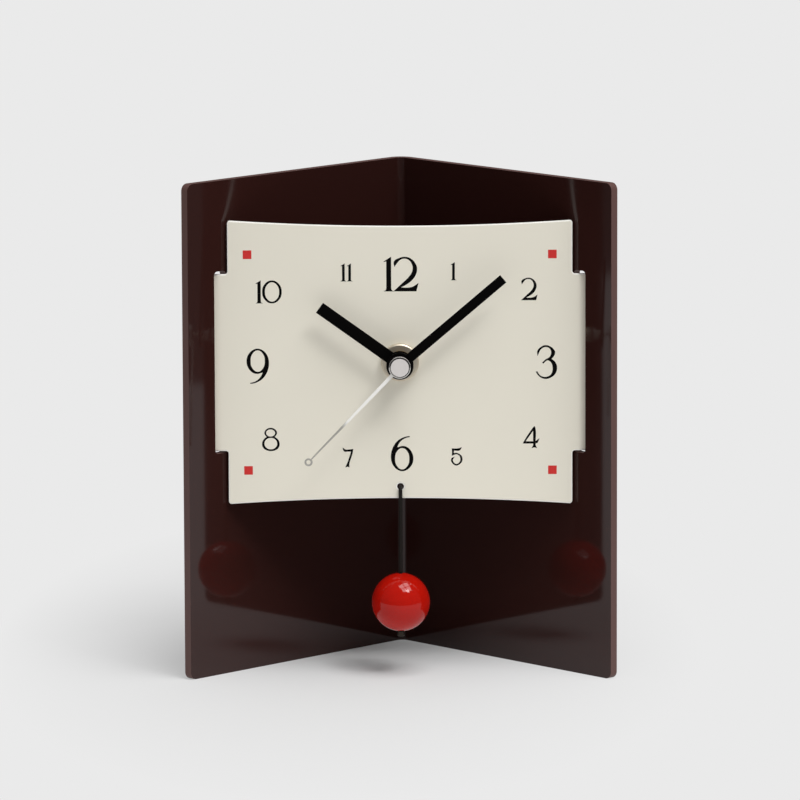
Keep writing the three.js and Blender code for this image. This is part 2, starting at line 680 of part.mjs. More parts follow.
// The wheels of the train and the motion work
function buildTrain() {
  const secondShaft = rod(secondShaftRadius, inCase(arborBackDepth), secondShaftFront);
  const minuteTube = ring(minuteTubeRadius, minuteTubeBore, centreWheelGear.back, minuteTubeFront);
  const hourTube = ring(hourTubeRadius, hourTubeBore, hourWheelGear.back, hourTubeFront);
  const settingBack = inCase(caseDepth + runGap + knobHeight - knobFloor - arborEndGap);
  const settingArbor = rod(settingArborRadius, settingBack, inCase(arborFrontDepth), settingAxis);
  return [
    piece('second_wheel', join(gear(secondWheelGear), gear(secondPinionGear), secondShaft), palePlastic),
    piece('third_wheel', join(gear(thirdWheelGear), gear(thirdPinionGear), arbor(thirdAxis)), palePlastic),
    piece('minute_wheel', join(gear(centreWheelGear), gear(cannonGear), minuteTube), palePlastic),
    piece('minute_work_wheel', join(gear(minuteWorkWheelGear), gear(minuteWorkPinionGear)), palePlastic),
    piece('hour_wheel', join(gear(hourWheelGear), hourTube), palePlastic),
    piece(
      'intermediate_wheel',
      join(gear(intermediateWheelGear), gear(intermediatePinionGear), arbor(intermediateAxis)), palePlastic,
    ),
    piece('rotor_arbor', join(gear(rotorGear), arbor(rotorAxis)), palePlastic),
    piece('setting_arbor', join(gear(settingGear), settingArbor), palePlastic),
  ];
}

// The ridged knob behind the case that sets the time
function buildKnob() {
  const back = inCase(caseDepth + runGap + knobHeight);
  const front = inCase(caseDepth + runGap);
  const points = [];
  for (let ridge = 0; ridge < 2 * knobRidges; ridge += 1) {
    const radius = knobRadius - (ridge % 2) * knobRidgeHeight;
    const angle = (ridge * turn) / (2 * knobRidges);
    points.push([settingAxis.x + radius * Math.cos(angle), settingAxis.y + radius * Math.sin(angle)]);
  }
  const socket = rod(settingArborRadius + fitGap, back + knobFloor, front + cutOverrun, settingAxis);
  return piece('setting_knob', cut(solid(slab(outline(points), back, front)), socket), blackCase);
}

// Pillars that carry the train plate
const pillarAxes = [
  new THREE.Vector2(-innerHalfWidth + pillarInset, -pillarDrop),
  new THREE.Vector2(innerHalfWidth - pillarInset, -pillarDrop),
  new THREE.Vector2(topPillarOffset, innerTop - pillarInset),
];
const pivotAxes = [thirdAxis, intermediateAxis, rotorAxis];

// The dial-side half of the movement case, with the posts and pivots that stand on its floor
function buildFrontCase() {
  const whole = () =>
    roundedRectangle(-caseHalfWidth, caseBottom, caseHalfWidth, caseTop, caseCornerRadius);
  const rim = whole();
  rim.holes.push(roundedRectangle(
    -innerHalfWidth, caseBottom + caseWall, innerHalfWidth, innerTop, caseCornerRadius - caseWall,
  ));
  const standing = (radius, axis, depth) => rod(radius, inCase(depth), inCase(caseFloor - joinOverlap), axis);
  const boardAxisX = boardLeft + boardWidth / 2;
  const posts = [
    ...pillarAxes.map((axis) => standing(pillarRadius, axis, trainPlateDepth - seatGap)),
    standing(minuteWorkPostRadius, minuteWorkAxis, layerDepth(CENTRE_LAYER) - runGap),
    ...[motorBottom + statorLegWidth / 2, motorTop - statorLegWidth / 2].map((y) =>
      standing(motorPostRadius, new THREE.Vector2(motorLeft + statorLegWidth / 2, y), statorDepth - seatGap)),
    ...[boardBottom + boardPostInset, motorTop - boardPostInset].map((y) =>
      standing(boardPostRadius, new THREE.Vector2(boardAxisX, y), boardDepth - seatGap)),
  ];
  const body = join(
    slab(whole(), inCase(caseFloor), inCase(0)), slab(rim, inCase(caseSplit), inCase(0)), ...posts,
  );
  const socketFloor = inCase(caseFloor - arborPivotDepth);
  const sockets = [
    ...pivotAxes.map((axis) => rod(arborRadius + runGap, inCase(caseFloor + cutOverrun), socketFloor, axis)),
    rod(settingArborRadius + runGap, inCase(caseFloor + cutOverrun), socketFloor, settingAxis),
  ];
  const through = rod(
    bushingRadius + fitGap, inCase(caseFloor + cutOverrun), inCase(-cutOverrun), shaftAxis, tubeSides,
  );
  return piece('front_case', cut(body, through, ...sockets), blackCase);
}

// The rear half of the case: back wall, battery bay open behind, and posts that hold the train plate
function buildRearCase() {
  const start = caseSplit + seatGap;
  const rim = roundedRectangle(-caseHalfWidth, caseBottom, caseHalfWidth, caseTop, caseCornerRadius);
  rim.holes.push(roundedRectangle(
    -innerHalfWidth, caseBottom + caseWall, innerHalfWidth, innerTop, caseCornerRadius - caseWall,
  ));
  const edge = innerHalfWidth + joinOverlap;
  const narrow = innerHalfWidth - fitGap;
  const wallBack = inCase(caseDepth);
  const body = join(
    slab(rim, wallBack, inCase(start)),
    box(-edge, dividerBottom, edge, innerTop + joinOverlap, wallBack, inCase(caseDepth - caseFloor)),
    box(-edge, dividerBottom, edge, dividerTop, wallBack, inCase(start)),
    box(-narrow, dividerBottom, narrow, dividerTop, inCase(start + joinOverlap), inCase(caseFloor + seatGap)),
    ...pillarAxes.map((axis) =>
      rod(pillarRadius, inCase(caseDepth - caseFloor + joinOverlap), inCase(trainPlateBack + seatGap), axis)),
  );
  const knobHole = rod(
    settingArborRadius + runGap, inCase(caseDepth + cutOverrun), inCase(trainPlateBack), settingAxis,
  );
  const notchLength = 2 * (caseWall + cutOverrun);
  const notch = new THREE.CylinderGeometry(thumbNotchRadius, thumbNotchRadius, notchLength, tubeSides);
  notch.translate(0, caseBottom, wallBack);
  return piece('rear_case', cut(body, knobHole, notch), blackCase);
}

// The plate that holds the rear pivots of the train
function buildTrainPlate() {
  const side = innerHalfWidth - motorWallGap;
  const low = dividerTop + motorWallGap;
  const shoulder = rotorAxis.y + statorRim;
  const neck = topPillarOffset + 2 * pillarInset;
  const plate = outline([
    [-side, low], [side, low], [side, shoulder], [neck, motorTop],
    [topPillarOffset - pillarInset, motorTop], [-side, settingAxis.y + knobRadius],
  ]);
  [shaftAxis, ...pivotAxes].forEach((axis) => plate.holes.push(circle(axis, arborRadius + runGap)));
  plate.holes.push(circle(settingAxis, settingArborRadius + runGap));
  const body = solid(slab(plate, inCase(trainPlateBack), inCase(trainPlateDepth), smallSides / 2));
  return piece('train_plate', body, palePlastic);
}

// The stepping motor: rotor magnet, pole plate, core, bobbin and winding
function buildMotor() {
  const magnetFront = inCase(statorDepth + statorThickness / 2 - magnetLength / 2);
  const magnet = ring(magnetRadius, arborRadius + fitGap, magnetFront - magnetLength, magnetFront);
  magnet.translate(rotorAxis.x, rotorAxis.y, 0);
  const stator = outline([
    [motorLeft, motorBottom], [motorRight, motorBottom], [motorRight, poleTop],
    [motorLeft + statorLegWidth, poleTop], [motorLeft + statorLegWidth, motorTop - statorLegWidth],
    [motorRight, motorTop - statorLegWidth], [motorRight, motorTop], [motorLeft, motorTop],
  ]);
  stator.holes.push(circle(rotorAxis, magnetRadius + runGap));
  const coreBack = inCase(coreDepth + coreThickness);
  const coreLeft = coilAxisX - coreWidth / 2;
  const core = box(coreLeft, poleTop - coreLap, motorRight, motorTop, coreBack, inCase(coreDepth));
  const coilLow = poleTop + runGap;
  const coilHigh = motorTop - statorLegWidth - runGap;
  const coilAxisZ = inCase(coreDepth + coreThickness / 2);
  const upright = (geometry) => geometry.translate(coilAxisX, (coilLow + coilHigh) / 2, coilAxisZ);
  const barrelRadius = Math.hypot(coreWidth / 2 + fitGap, coreThickness / 2 + fitGap) + barrelWall;
  const half = (coilHigh - coilLow) / 2;
  const corners = (list) => list.map(([radius, level]) => new THREE.Vector2(radius, level));
  const spool = upright(new THREE.LatheGeometry(corners([
    [0, -half], [coilRadius, -half], [coilRadius, -half + bobbinFlange], [barrelRadius, -half + bobbinFlange],
    [barrelRadius, half - bobbinFlange], [coilRadius, half - bobbinFlange], [coilRadius, half], [0, half],
  ]), tubeSides));
  const coreHole = box(
    coreLeft - fitGap, coilLow - cutOverrun, motorRight + fitGap, coilHigh + cutOverrun,
    coreBack - fitGap, inCase(coreDepth) + fitGap,
  );
  const windingInner = barrelRadius + fitGap;
  const windingOuter = Math.min(windingInner + windingThickness, coilRadius - seatGap);
  const windingEnd = half - bobbinFlange - seatGap;
  const winding = upright(new THREE.LatheGeometry(corners([
    [windingInner, -windingEnd], [windingOuter, -windingEnd], [windingOuter, windingEnd],
    [windingInner, windingEnd], [windingInner, -windingEnd],
  ]), tubeSides));
  const statorBack = inCase(statorDepth + statorThickness);
  return [
    piece('rotor_magnet', solid(magnet), sinteredMagnet),
    piece('stator_plate', solid(slab(stator, statorBack, inCase(statorDepth), holeSteps)), stampedIron),
    piece('coil_core', solid(core), stampedIron),
    piece('coil_bobbin', cut(solid(spool), coreHole), palePlastic),
    piece('coil_winding', solid(winding), copperWinding),
  ];
}

// The circuit board with its sealed chip and its timing crystal
function buildBoard() {
  const back = inCase(boardDepth + boardThickness);
  const board = box(boardLeft, boardBottom, boardLeft + boardWidth, motorTop, back, inCase(boardDepth));
  const middle = boardLeft + boardWidth / 2;
  const rest = back - seatGap;
  const chip = new THREE.LatheGeometry([
    new THREE.Vector2(0, -chipHeight), new THREE.Vector2(chipRadius / 2, -chipHeight),
    new THREE.Vector2(chipRadius, -chipHeight / 2), new THREE.Vector2(chipRadius, 0), new THREE.Vector2(0, 0),
  ], tubeSides).rotateX(Math.PI / 2).translate(middle, boardBottom + chipInset, rest);
  const crystal = new THREE.CylinderGeometry(crystalRadius, crystalRadius, crystalLength, smallSides);
  crystal.translate(middle, motorTop - crystalInset, rest - crystalRadius);
  return [
    piece('circuit_board', solid(board), greenBoard),
    piece('control_chip', solid(chip), blackResin),
    piece('quartz_crystal', solid(crystal), drawnCan),
  ];
}

// The battery lying across the bay, and the contact at each of its ends
function buildBattery() {
  const radius = batteryDiameter / 2;
  const half = batteryLength / 2;
  const shoulder = half - batteryNubLength;
  const cell = new THREE.LatheGeometry([
    [0, -half], [radius - batteryEdgeRadius, -half], [radius, -half + batteryEdgeRadius],
    [radius, shoulder - batteryEdgeRadius], [radius - batteryEdgeRadius, shoulder],
    [batteryNubRadius, shoulder], [batteryNubRadius, half], [0, half],
  ].map(([r, level]) => new THREE.Vector2(r, level)), edgeSides);
  const axisZ = inCase(caseFloor + bayGap + radius);
  cell.rotateZ(-turn / 4).translate(0, batteryAxisY, axisZ);

  const wall = innerHalfWidth - seatGap;
  const low = batteryAxisY - contactWidth / 2;
  const high = batteryAxisY + contactWidth / 2;
  const back = axisZ - contactWidth / 2;
  const front = axisZ + contactWidth / 2;
  const dimpleTip = half + runGap;
  const dimpleSizes = [contactDimpleRadius, contactDimpleRadius, wall - dimpleTip, smallSides];
  const dimple = new THREE.CylinderGeometry(...dimpleSizes);
  dimple.rotateZ(turn / 4).translate((wall + dimpleTip) / 2, batteryAxisY, axisZ);
  const positive = join(box(wall - contactThickness, low, wall, high, back, front), dimple);

  const leafTip = half + runGap;
  const leaf = outline([
    [-wall, low], [-leafTip - contactThickness, batteryAxisY], [-wall, high],
    [-wall + contactThickness, high], [-leafTip, batteryAxisY], [-wall + contactThickness, low],
  ]);
  return [
    piece('battery_cell', solid(cell), batteryWrap),
    piece('positive_contact', positive, nickelContact),
    piece('negative_contact', solid(slab(leaf, back, front)), nickelContact),
  ];
}

// The pendulum: a hooked wire through the dial's lower hole, the ball and the nut under it
function buildPendulum() {
  const upright = (radius, low, high, z, sides = smallSides) =>
    new THREE.CylinderGeometry(radius, radius, high - low, sides).translate(0, (low + high) / 2, z);
  const bend = (z, towards) => {
    const corner = new THREE.Vector3(0, pendulumY, z);
    const path = new THREE.QuadraticBezierCurve3(
      new THREE.Vector3(0, pendulumY - wireBendRadius, z), corner,
      new THREE.Vector3(0, pendulumY, z + towards * wireBendRadius),
    );
    const section = new THREE.Shape(circle(shaftAxis, wireRadius).getPoints(smallSides / 2));
    const settings = { steps: wireBendSteps, extrudePath: path, bevelEnabled: false };
    return new THREE.ExtrudeGeometry(section, settings);
  };
  const bendFoot = pendulumY - wireBendRadius + joinOverlap;
  const nutFoot = ballY - ballRadius - seatGap - endNutHeight;
  const wire = join(
    upright(wireRadius, nutFoot + wireEndInset, bendFoot, wireFrontZ),
    bend(wireFrontZ, -1),
    rod(
      wireRadius, wireBackZ + wireBendRadius - joinOverlap, wireFrontZ - wireBendRadius + joinOverlap,
      new THREE.Vector2(0, pendulumY),
    ),
    bend(wireBackZ, 1),
    upright(wireRadius, pendulumY - hookLength, bendFoot, wireBackZ),
  );
  const ball = new THREE.SphereGeometry(ballRadius, edgeSides, ballRings).translate(0, ballY, wireFrontZ);
  const boreReach = ballRadius + cutOverrun;
  const bore = upright(wireRadius + ballBoreGap, ballY - boreReach, ballY + boreReach, wireFrontZ);
  const nutHead = nutFoot + endNutHeight;
  const nut = upright(endNutRadius, nutFoot, nutHead, wireFrontZ);
  const nutBoreFoot = nutFoot + wireEndInset - seatGap;
  const nutBore = upright(wireRadius + fitGap, nutBoreFoot, nutHead + cutOverrun, wireFrontZ);
  return [
    piece('pendulum_wire', wire, blackWire),
    piece('pendulum_ball', cut(solid(ball), bore), redGloss),
    piece('pendulum_end_nut', cut(solid(nut), nutBore), blackWire),
  ];
}

const stand = new THREE.Group();
stand.position.y = foldY;
stand.add(buildFrame());

// Pieces about the dial are set out as seen from the front: x right, y up, z towards the viewer
const face = new THREE.Group();
face.rotation.x = Math.PI / 2;
face.position.set(0, foldY - dialReach, shaftHeight);
face.add(buildDial(), ...buildClamp(), ...buildHands());
face.add(buildFrontCase(), buildRearCase(), buildTrainPlate(), ...buildTrain(), buildKnob());
face.add(...buildMotor(), ...buildBoard(), ...buildBattery(), ...buildPendulum());

const clock = new THREE.Group();
clock.add(stand, face);

export default clock;
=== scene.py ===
"""Looks of a desk clock: a V-folded acrylic stand, a tabbed dial, bar hands and a ball pendulum."""

import logging
import math
from dataclasses import dataclass, field
from enum import Enum
from typing import Dict, List, NamedTuple, Sequence, Tuple, Union

import bmesh
import bpy
from mathutils import Matrix, Vector


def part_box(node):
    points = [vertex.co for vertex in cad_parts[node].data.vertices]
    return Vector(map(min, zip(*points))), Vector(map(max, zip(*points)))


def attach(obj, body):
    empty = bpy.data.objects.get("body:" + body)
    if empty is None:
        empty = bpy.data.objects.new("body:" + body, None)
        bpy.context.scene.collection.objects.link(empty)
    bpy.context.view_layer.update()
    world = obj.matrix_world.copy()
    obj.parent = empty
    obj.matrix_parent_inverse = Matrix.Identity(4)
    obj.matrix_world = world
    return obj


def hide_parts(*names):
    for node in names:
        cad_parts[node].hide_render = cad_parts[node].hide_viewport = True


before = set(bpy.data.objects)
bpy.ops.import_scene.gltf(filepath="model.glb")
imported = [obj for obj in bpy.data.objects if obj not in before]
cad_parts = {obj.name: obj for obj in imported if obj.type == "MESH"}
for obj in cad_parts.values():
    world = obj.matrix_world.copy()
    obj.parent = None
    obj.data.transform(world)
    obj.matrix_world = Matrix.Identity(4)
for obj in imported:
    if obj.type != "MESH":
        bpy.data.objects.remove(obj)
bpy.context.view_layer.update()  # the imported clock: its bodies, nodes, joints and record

LOG = logging.getLogger("desk_clock")
MM = 0.001
QUARTER = math.pi / 2
HALF = 2 * QUARTER
WHOLE = 4 * QUARTER
DIAGONAL = math.sqrt(0.5)  # how far a step along a wing goes across, and back
FORWARD = Vector((0, -1, 0))  # from the dial to the viewer
UP = Vector((0, 0, 1))
WELD = 1e-6  # metres between points that are one point
FLAT_ANGLE = 1.0  # degrees; faces that meet at less are one flat
SHADING_ANGLE = 35.0  # degrees; faces that meet at more are shaded with an edge
EDGE_ANGLE = 40.0  # degrees; faces that meet at more get a rounded edge
EDGE_SEGMENTS = 3  # of a rounded edge
CORNER_STEPS = 5  # of a small round corner in an outline
CURVE_STEPS = 6  # between two knots of an outline
OVAL_KNOTS = 8
PLATE_EDGE_STEPS = 2  # of a plate's rounded edge
ROUND_STEPS = 64  # of a hub or a hole in an outline
SMALL_ROUND_STEPS = 32  # of a small one
RING_STEPS = 96  # of a turned solid
FINE_RING_STEPS = 128  # of a turned solid that shows large
LARGE_FACES_LEAD = 100  # weight of faces by size, where a piece's flats stay flat
HIDDEN_OVERLAP = 0.01 * MM  # how far a print or a mark sinks into what carries it
MIX_FIRST, MIX_SECOND, MIX_RESULT = 6, 7, 2  # the Mix node's sockets for colours

Colour = Tuple[float, float, float, float]
Point = Tuple[float, float]
Place = Tuple[float, float, float]
Loop = Sequence[Point]


class Body(Enum):
    """The bodies of the clock that new pieces ride on."""

    STAND = "stand"
    SECOND = "second"
    MINUTE = "minute"
    HOUR = "hour"
    SETTING = "setting"
    PENDULUM = "pendulum"


class Slot(Enum):
    """The material slots of the record."""

    ACRYLIC = "frame_acrylic"
    DIAL = "dial_cream"
    BRASS = "bushing_brass"
    NUT = "nut_plated"
    RUBBER = "washer_rubber"
    HAND = "hand_black"
    NEEDLE = "hand_pale"
    CAP = "cap_satin"
    CASE = "case_black"
    TRAIN = "train_plastic"
    MAGNET = "magnet_grey"
    IRON = "motor_iron"
    BOBBIN = "bobbin_white"
    COPPER = "winding_copper"
    BOARD = "board_green"
    RESIN = "chip_black"
    CAN = "crystal_can"
    SLEEVE = "battery_wrap"
    NICKEL = "contact_nickel"
    WIRE = "wire_black"
    BALL = "ball_red"


class Lay(Enum):
    """Which way the fine lines of a worked metal run."""

    TURNED = "rings about the shaft"
    ALONG_X = "lines along X"
    ALONG_Z = "lines along Z"


class Turn(Enum):
    """How an outline passes a knot, as a Bezier handle type."""

    SMOOTH = "AUTO"
    CORNER = "VECTOR"


class Knot(NamedTuple):
    """A knot of a figure's outline, in figure heights."""

    x: float
    y: float
    turn: Turn


def tint(code: str, gain: float = 1.0) -> Colour:
    """Turns a written colour into the linear values that a shader takes.

    Args:
        code: The colour as six hexadecimal digits, as it should look on a screen.
        gain: Factor on its brightness.

    Returns:
        Linear red, green, blue and an alpha of one.
    """
    parts = [value / 255 for value in bytes.fromhex(code)]
    linear = [p / 12.92 if p <= 0.04045 else ((p + 0.055) / 1.055) ** 2.4 for p in parts]
    red, green, blue = [part * gain for part in linear]
    return (red, green, blue, 1.0)


class Value:
    """A shader socket that takes part in Python arithmetic, with one Math node for each step."""

    def __init__(self, shader: "Shader", socket: bpy.types.NodeSocket) -> None:
        """Keeps the shader that new Math nodes go into, and the socket."""
        self.shader = shader
        self.socket = socket

    def _math(self, operation: str, first: "Number", second: "Number") -> "Value":
        """Adds one Math node on two values."""
        return self.shader.node("ShaderNodeMath", {"operation": operation}, {0: first, 1: second})

    def __add__(self, other: "Number") -> "Value":
        """Adds."""
        return self._math("ADD", self, other)

    def __radd__(self, other: "Number") -> "Value":
        """Adds, from the right."""
        return self._math("ADD", other, self)

    def __sub__(self, other: "Number") -> "Value":
        """Subtracts."""
        return self._math("SUBTRACT", self, other)

    def __rsub__(self, other: "Number") -> "Value":
        """Subtracts, from the right."""
        return self._math("SUBTRACT", other, self)

    def __mul__(self, other: "Number") -> "Value":
        """Multiplies."""
        return self._math("MULTIPLY", self, other)

    def __rmul__(self, other: "Number") -> "Value":
        """Multiplies, from the right."""
        return self._math("MULTIPLY", other, self)

    def __pow__(self, other: "Number") -> "Value":
        """Raises to a power."""
        return self._math("POWER", self, other)

    def __rpow__(self, other: "Number") -> "Value":
        """Raises to a power, from the right."""
        return self._math("POWER", other, self)


Number = Union[float, Value]
Setting = Union[str, bool, int, float]
Input = Union[float, Value, Sequence[float]]
Key = Union[int, str]


class Shader:
    """The nodes of one material or world."""

    def __init__(self, block: Union[bpy.types.Material, bpy.types.World]) -> None:
        """Starts with the nodes that a new block has."""
        block.use_nodes = True
        self.tree = block.node_tree

    def feed(self, target: bpy.types.NodeSocket, value: Input) -> None:
        """Links a value to a socket, or sets a constant on it.

        Args:
            target: The socket.
            value: What goes into it.
        """
        if isinstance(value, Value):
            self.tree.links.new(value.socket, target)
        else:
            target.default_value = value

    def node(
        self, kind: str, settings: Dict[str, Setting], sockets: Dict[Key, Input], output: Key = 0,
    ) -> Value:
        """Adds a node.

        Args:
            kind: The node's type.
            settings: Its properties, such as an operation, which are set first.
            sockets: Values or links of its inputs, by name or index.
            output: Name or index of the output to hand back.

        Returns:
            The chosen output.
        """
        node = self.tree.nodes.new(kind)
        for name, setting in settings.items():
            setattr(node, name, setting)
        for key, value in sockets.items():
            self.feed(node.inputs[key], value)
        return Value(self, node.outputs[output])

    def place(self) -> Value:
        """The point on the surface, in metres in the clock's frame."""
        return self.node("ShaderNodeTexCoord", {}, {}, "Object")

    def axes(self, vector: Value) -> Tuple[Value, Value, Value]:
        """Takes a vector apart.

        Args:
            vector: The vector.

        Returns:
            Its three parts.
        """
        first = self.node("ShaderNodeSeparateXYZ", {}, {0: vector})
        outputs = first.socket.node.outputs
        return first, Value(self, outputs[1]), Value(self, outputs[2])

    def from_shaft(self, place: Value) -> Value:
        """Measures from the hands' axis.

        Args:
            place: A point.

        Returns:
            How far the point is from the axis.
        """
        x, _, z = self.axes(place)
        lift = z - SHAFT_HEIGHT
        return (x * x + lift * lift) ** 0.5

    def noise(self, vector: Value, size: float, detail: float = 2.0) -> Value:
        """Cloudy noise from 0 to 1, with features of about the given size in metres."""
        sockets = {"Vector": vector, "Scale": 1 / size, "Detail": detail}
        return self.node("ShaderNodeTexNoise", {}, sockets)

    def streaks(self, along: Value, size: float, detail: float = 3.0) -> Value:
        """Noise that changes along one value only, as fine worked lines do."""
        sockets = {"W": along, "Scale": 1 / size, "Detail": detail}
        return self.node("ShaderNodeTexNoise", {"noise_dimensions": "1D"}, sockets)

    def stretch(self, vector: Value, factors: Sequence[float]) -> Value:
        """The vector with each part multiplied by its own factor."""
        return self.node("ShaderNodeVectorMath", {"operation": "MULTIPLY"}, {0: vector, 1: factors})

    def mix(self, factor: Number, first: Input, second: Input) -> Value:
        """Mixes two colours."""
        sockets = {0: factor, MIX_FIRST: first, MIX_SECOND: second}
        return self.node("ShaderNodeMix", {"data_type": "RGBA"}, sockets, MIX_RESULT)

    def uneven(self, factor: Value, colour: str, spread: float) -> Value:
        """A written colour that strays to either side by a share of its brightness."""
        return self.mix(factor, tint(colour, 1 - spread), tint(colour, 1 + spread))

    def swing(self, value: Value, width: float) -> Value:
        """A value from 0 to 1 as a change about zero, of the given width."""
        return width * (value - 0.5)

    def bump(self, height: Value, depth: float) -> Value:
        """A surface normal for a relief of the given depth in metres."""
        return self.node("ShaderNodeBump", {}, {"Distance": depth, "Height": height})

    def shown(self) -> Value:
        """Tells the rays that show what they meet from those that only gather its light.

        Returns:
            One for what is seen or mirrored, and zero for the rest.
        """
        rays = self.node("ShaderNodeLightPath", {}, {}).socket.node.outputs
        names = ("Is Camera Ray", "Is Glossy Ray", "Is Transmission Ray")
        seen, mirrored, through = [Value(self, rays[name]) for name in names]
        return seen + mirrored + through

    def settle(self, name: str, sockets: Dict[str, Input]) -> bpy.types.Node:
        """Sets or links the sockets of a node that is there from the start.

        Args:
            name: Name of the node.
            sockets: Values or links of its inputs.

        Returns:
            The node.
        """
        node = self.tree.nodes[name]
        for socket, value in sockets.items():
            self.feed(node.inputs[socket], value)
        return node

    def surface(self, sockets: Dict[str, Input]) -> Value:
        """Sets or links the sockets of the Principled surface."""
        return Value(self, self.settle("Principled BSDF", sockets).outputs[0])


@dataclass(frozen=True)
class Finish:
    """A surface treatment, with the slot of the record that it fills."""

    name: str
    slot: Slot
    colour: str
    roughness: float

    def material(self) -> bpy.types.Material:
        """Makes the finish into a material on its first use.

        Returns:
            The material.
        """
        made = bpy.data.materials.get(self.name)
        if made is None:
            made = bpy.data.materials.new(self.name)
            self.paint(Shader(made))
        return made

    def paint(self, shader: Shader) -> None:
        """Builds the nodes of the finish."""
        raise NotImplementedError


@dataclass(frozen=True)
class PolishedSheet(Finish):
    """Cast acrylic sheet: deep colour under a polished skin that is never quite flat or clean."""

    wave_size: float = 60 * MM
    wave_depth: float = 0.002 * MM
    smear_size: float = 14 * MM
    smear_stretch: Place = (1.0, 1.0, 0.35)
    smear_dulling: float = 0.04
    unevenness: float = 0.06
    refraction: float = 1.49
    sheen: float = 0.36

    def paint(self, shader: Shader) -> None:
        """Builds the nodes of the finish.

        Args:
            shader: The material's shader.
        """
        place = shader.place()
        wave = shader.noise(place, self.wave_size, detail=1.0)
        smear = shader.noise(shader.stretch(place, self.smear_stretch), self.smear_size, detail=4.0)
        shader.surface({
            "Base Color": shader.uneven(wave, self.colour, self.unevenness),
            "Roughness": self.roughness + self.smear_dulling * smear,
            "IOR": self.refraction,
            "Specular IOR Level": self.sheen,
            "Normal": shader.bump(wave, self.wave_depth),
        })


@dataclass(frozen=True)
class SprayedPaint(Finish):
    """Sprayed paint: a fine pebbled skin with slightly uneven colour."""

    grain_size: float = 0.5 * MM
    grain_depth: float = 0.004 * MM
    cloud_size: float = 30 * MM
    unevenness: float = 0.015
    dulling: float = 0.08
    sheen: float = 0.5

    def paint(self, shader: Shader) -> None:
        """Builds the nodes of the finish.

        Args:
            shader: The material's shader.
        """
        place = shader.place()
        grain = shader.noise(place, self.grain_size)
        cloud = shader.noise(place, self.cloud_size, detail=3.0)
        shader.surface({
            "Base Color": shader.uneven(cloud, self.colour, self.unevenness),
            "Roughness": self.roughness + shader.swing(grain, self.dulling),
            "Specular IOR Level": self.sheen,
            "Normal": shader.bump(grain, self.grain_depth),
        })


@dataclass(frozen=True)
class PrintedInk(Finish):
    """Screen-printed ink: thin, with faint pinholes."""

    grain_size: float = 0.25 * MM
    unevenness: float = 0.15
    dulling: float = 0.1
    sheen: float = 0.08

    def paint(self, shader: Shader) -> None:
        """Builds the nodes of the finish.

        Args:
            shader: The material's shader.
        """
        grain = shader.noise(shader.place(), self.grain_size)
        shader.surface({
            "Base Color": shader.uneven(grain, self.colour, self.unevenness),
            "Roughness": self.roughness + shader.swing(grain, self.dulling),
            "Specular IOR Level": self.sheen,
        })


@dataclass(frozen=True)
class MouldedPlastic(Finish):
    """Moulded plastic with a fine spark-eroded texture."""

    grain_size: float = 0.35 * MM
    grain_depth: float = 0.02 * MM
    cloud_size: float = 12 * MM
    mottle: float = 0.12
    dulling: float = 0.15

    def paint(self, shader: Shader) -> None:
        """Builds the nodes of the finish.

        Args:
            shader: The material's shader.
        """
        place = shader.place()
        grain = shader.noise(place, self.grain_size, detail=3.0)
        cloud = shader.noise(place, self.cloud_size)
        shader.surface({
            "Base Color": shader.uneven(cloud, self.colour, self.mottle),
            "Roughness": self.roughness + shader.swing(grain, self.dulling),
            "Normal": shader.bump(grain, self.grain_depth),
        })


@dataclass(frozen=True)
class WorkedMetal(Finish):
    """Bare or plated metal with the fine lines of the tool that worked it."""

    lay: Lay
    line_size: float = 0.12 * MM
    line_depth: float = 0.003 * MM
    line_shrink: float = 0.02
    line_dulling: float = 0.1
    dark: float = 0.92
    bright: float = 1.06
    cloud_size: float = 4 * MM
    cloud_dulling: float = 0.06

    def paint(self, shader: Shader) -> None:
        """Builds the nodes of the finish.

        Args:
            shader: The material's shader.
        """
        place = shader.place()
        if self.lay is Lay.TURNED:
            lines = shader.streaks(shader.from_shaft(place), self.line_size)
        else:
            shrink = self.line_shrink
            along = (shrink, 1.0, 1.0) if self.lay is Lay.ALONG_X else (1.0, 1.0, shrink)
            lines = shader.noise(shader.stretch(place, along), self.line_size, detail=3.0)
        cloud = shader.noise(place, self.cloud_size)
        dulled = self.roughness + shader.swing(lines, self.line_dulling)
        dark, bright = tint(self.colour, self.dark), tint(self.colour, self.bright)
        shader.surface({
            "Base Color": shader.mix(lines, dark, bright),
            "Metallic": 1.0,
            "Roughness": dulled + shader.swing(cloud, self.cloud_dulling),
            "Normal": shader.bump(lines, self.line_depth),
        })


@dataclass(frozen=True)
class WhiteToSteelNeedle(Finish):
    """A steel needle, white from the shaft out to about half its length and grey steel beyond."""

    steel: str
    white_end: float
    white_fade: float = 1.5 * MM
    line_size: float = 0.12 * MM
    unevenness: float = 0.1
    dulling: float = 0.1
    metal: float = 0.4

    def paint(self, shader: Shader) -> None:
        """Builds the nodes of the finish.

        Args:
            shader: The material's shader.
        """
        out = shader.from_shaft(shader.place())
        steel_share = shader.node("ShaderNodeMapRange", {}, {
            "Value": out,
            "From Min": self.white_end - self.white_fade,
            "From Max": self.white_end + self.white_fade,
        })
        lines = shader.streaks(out, self.line_size)
        steel = shader.uneven(lines, self.steel, self.unevenness)
        shader.surface({
            "Base Color": shader.mix(steel_share, tint(self.colour), steel),
            "Metallic": self.metal * steel_share,
            "Roughness": self.roughness + shader.swing(lines, self.dulling),
        })


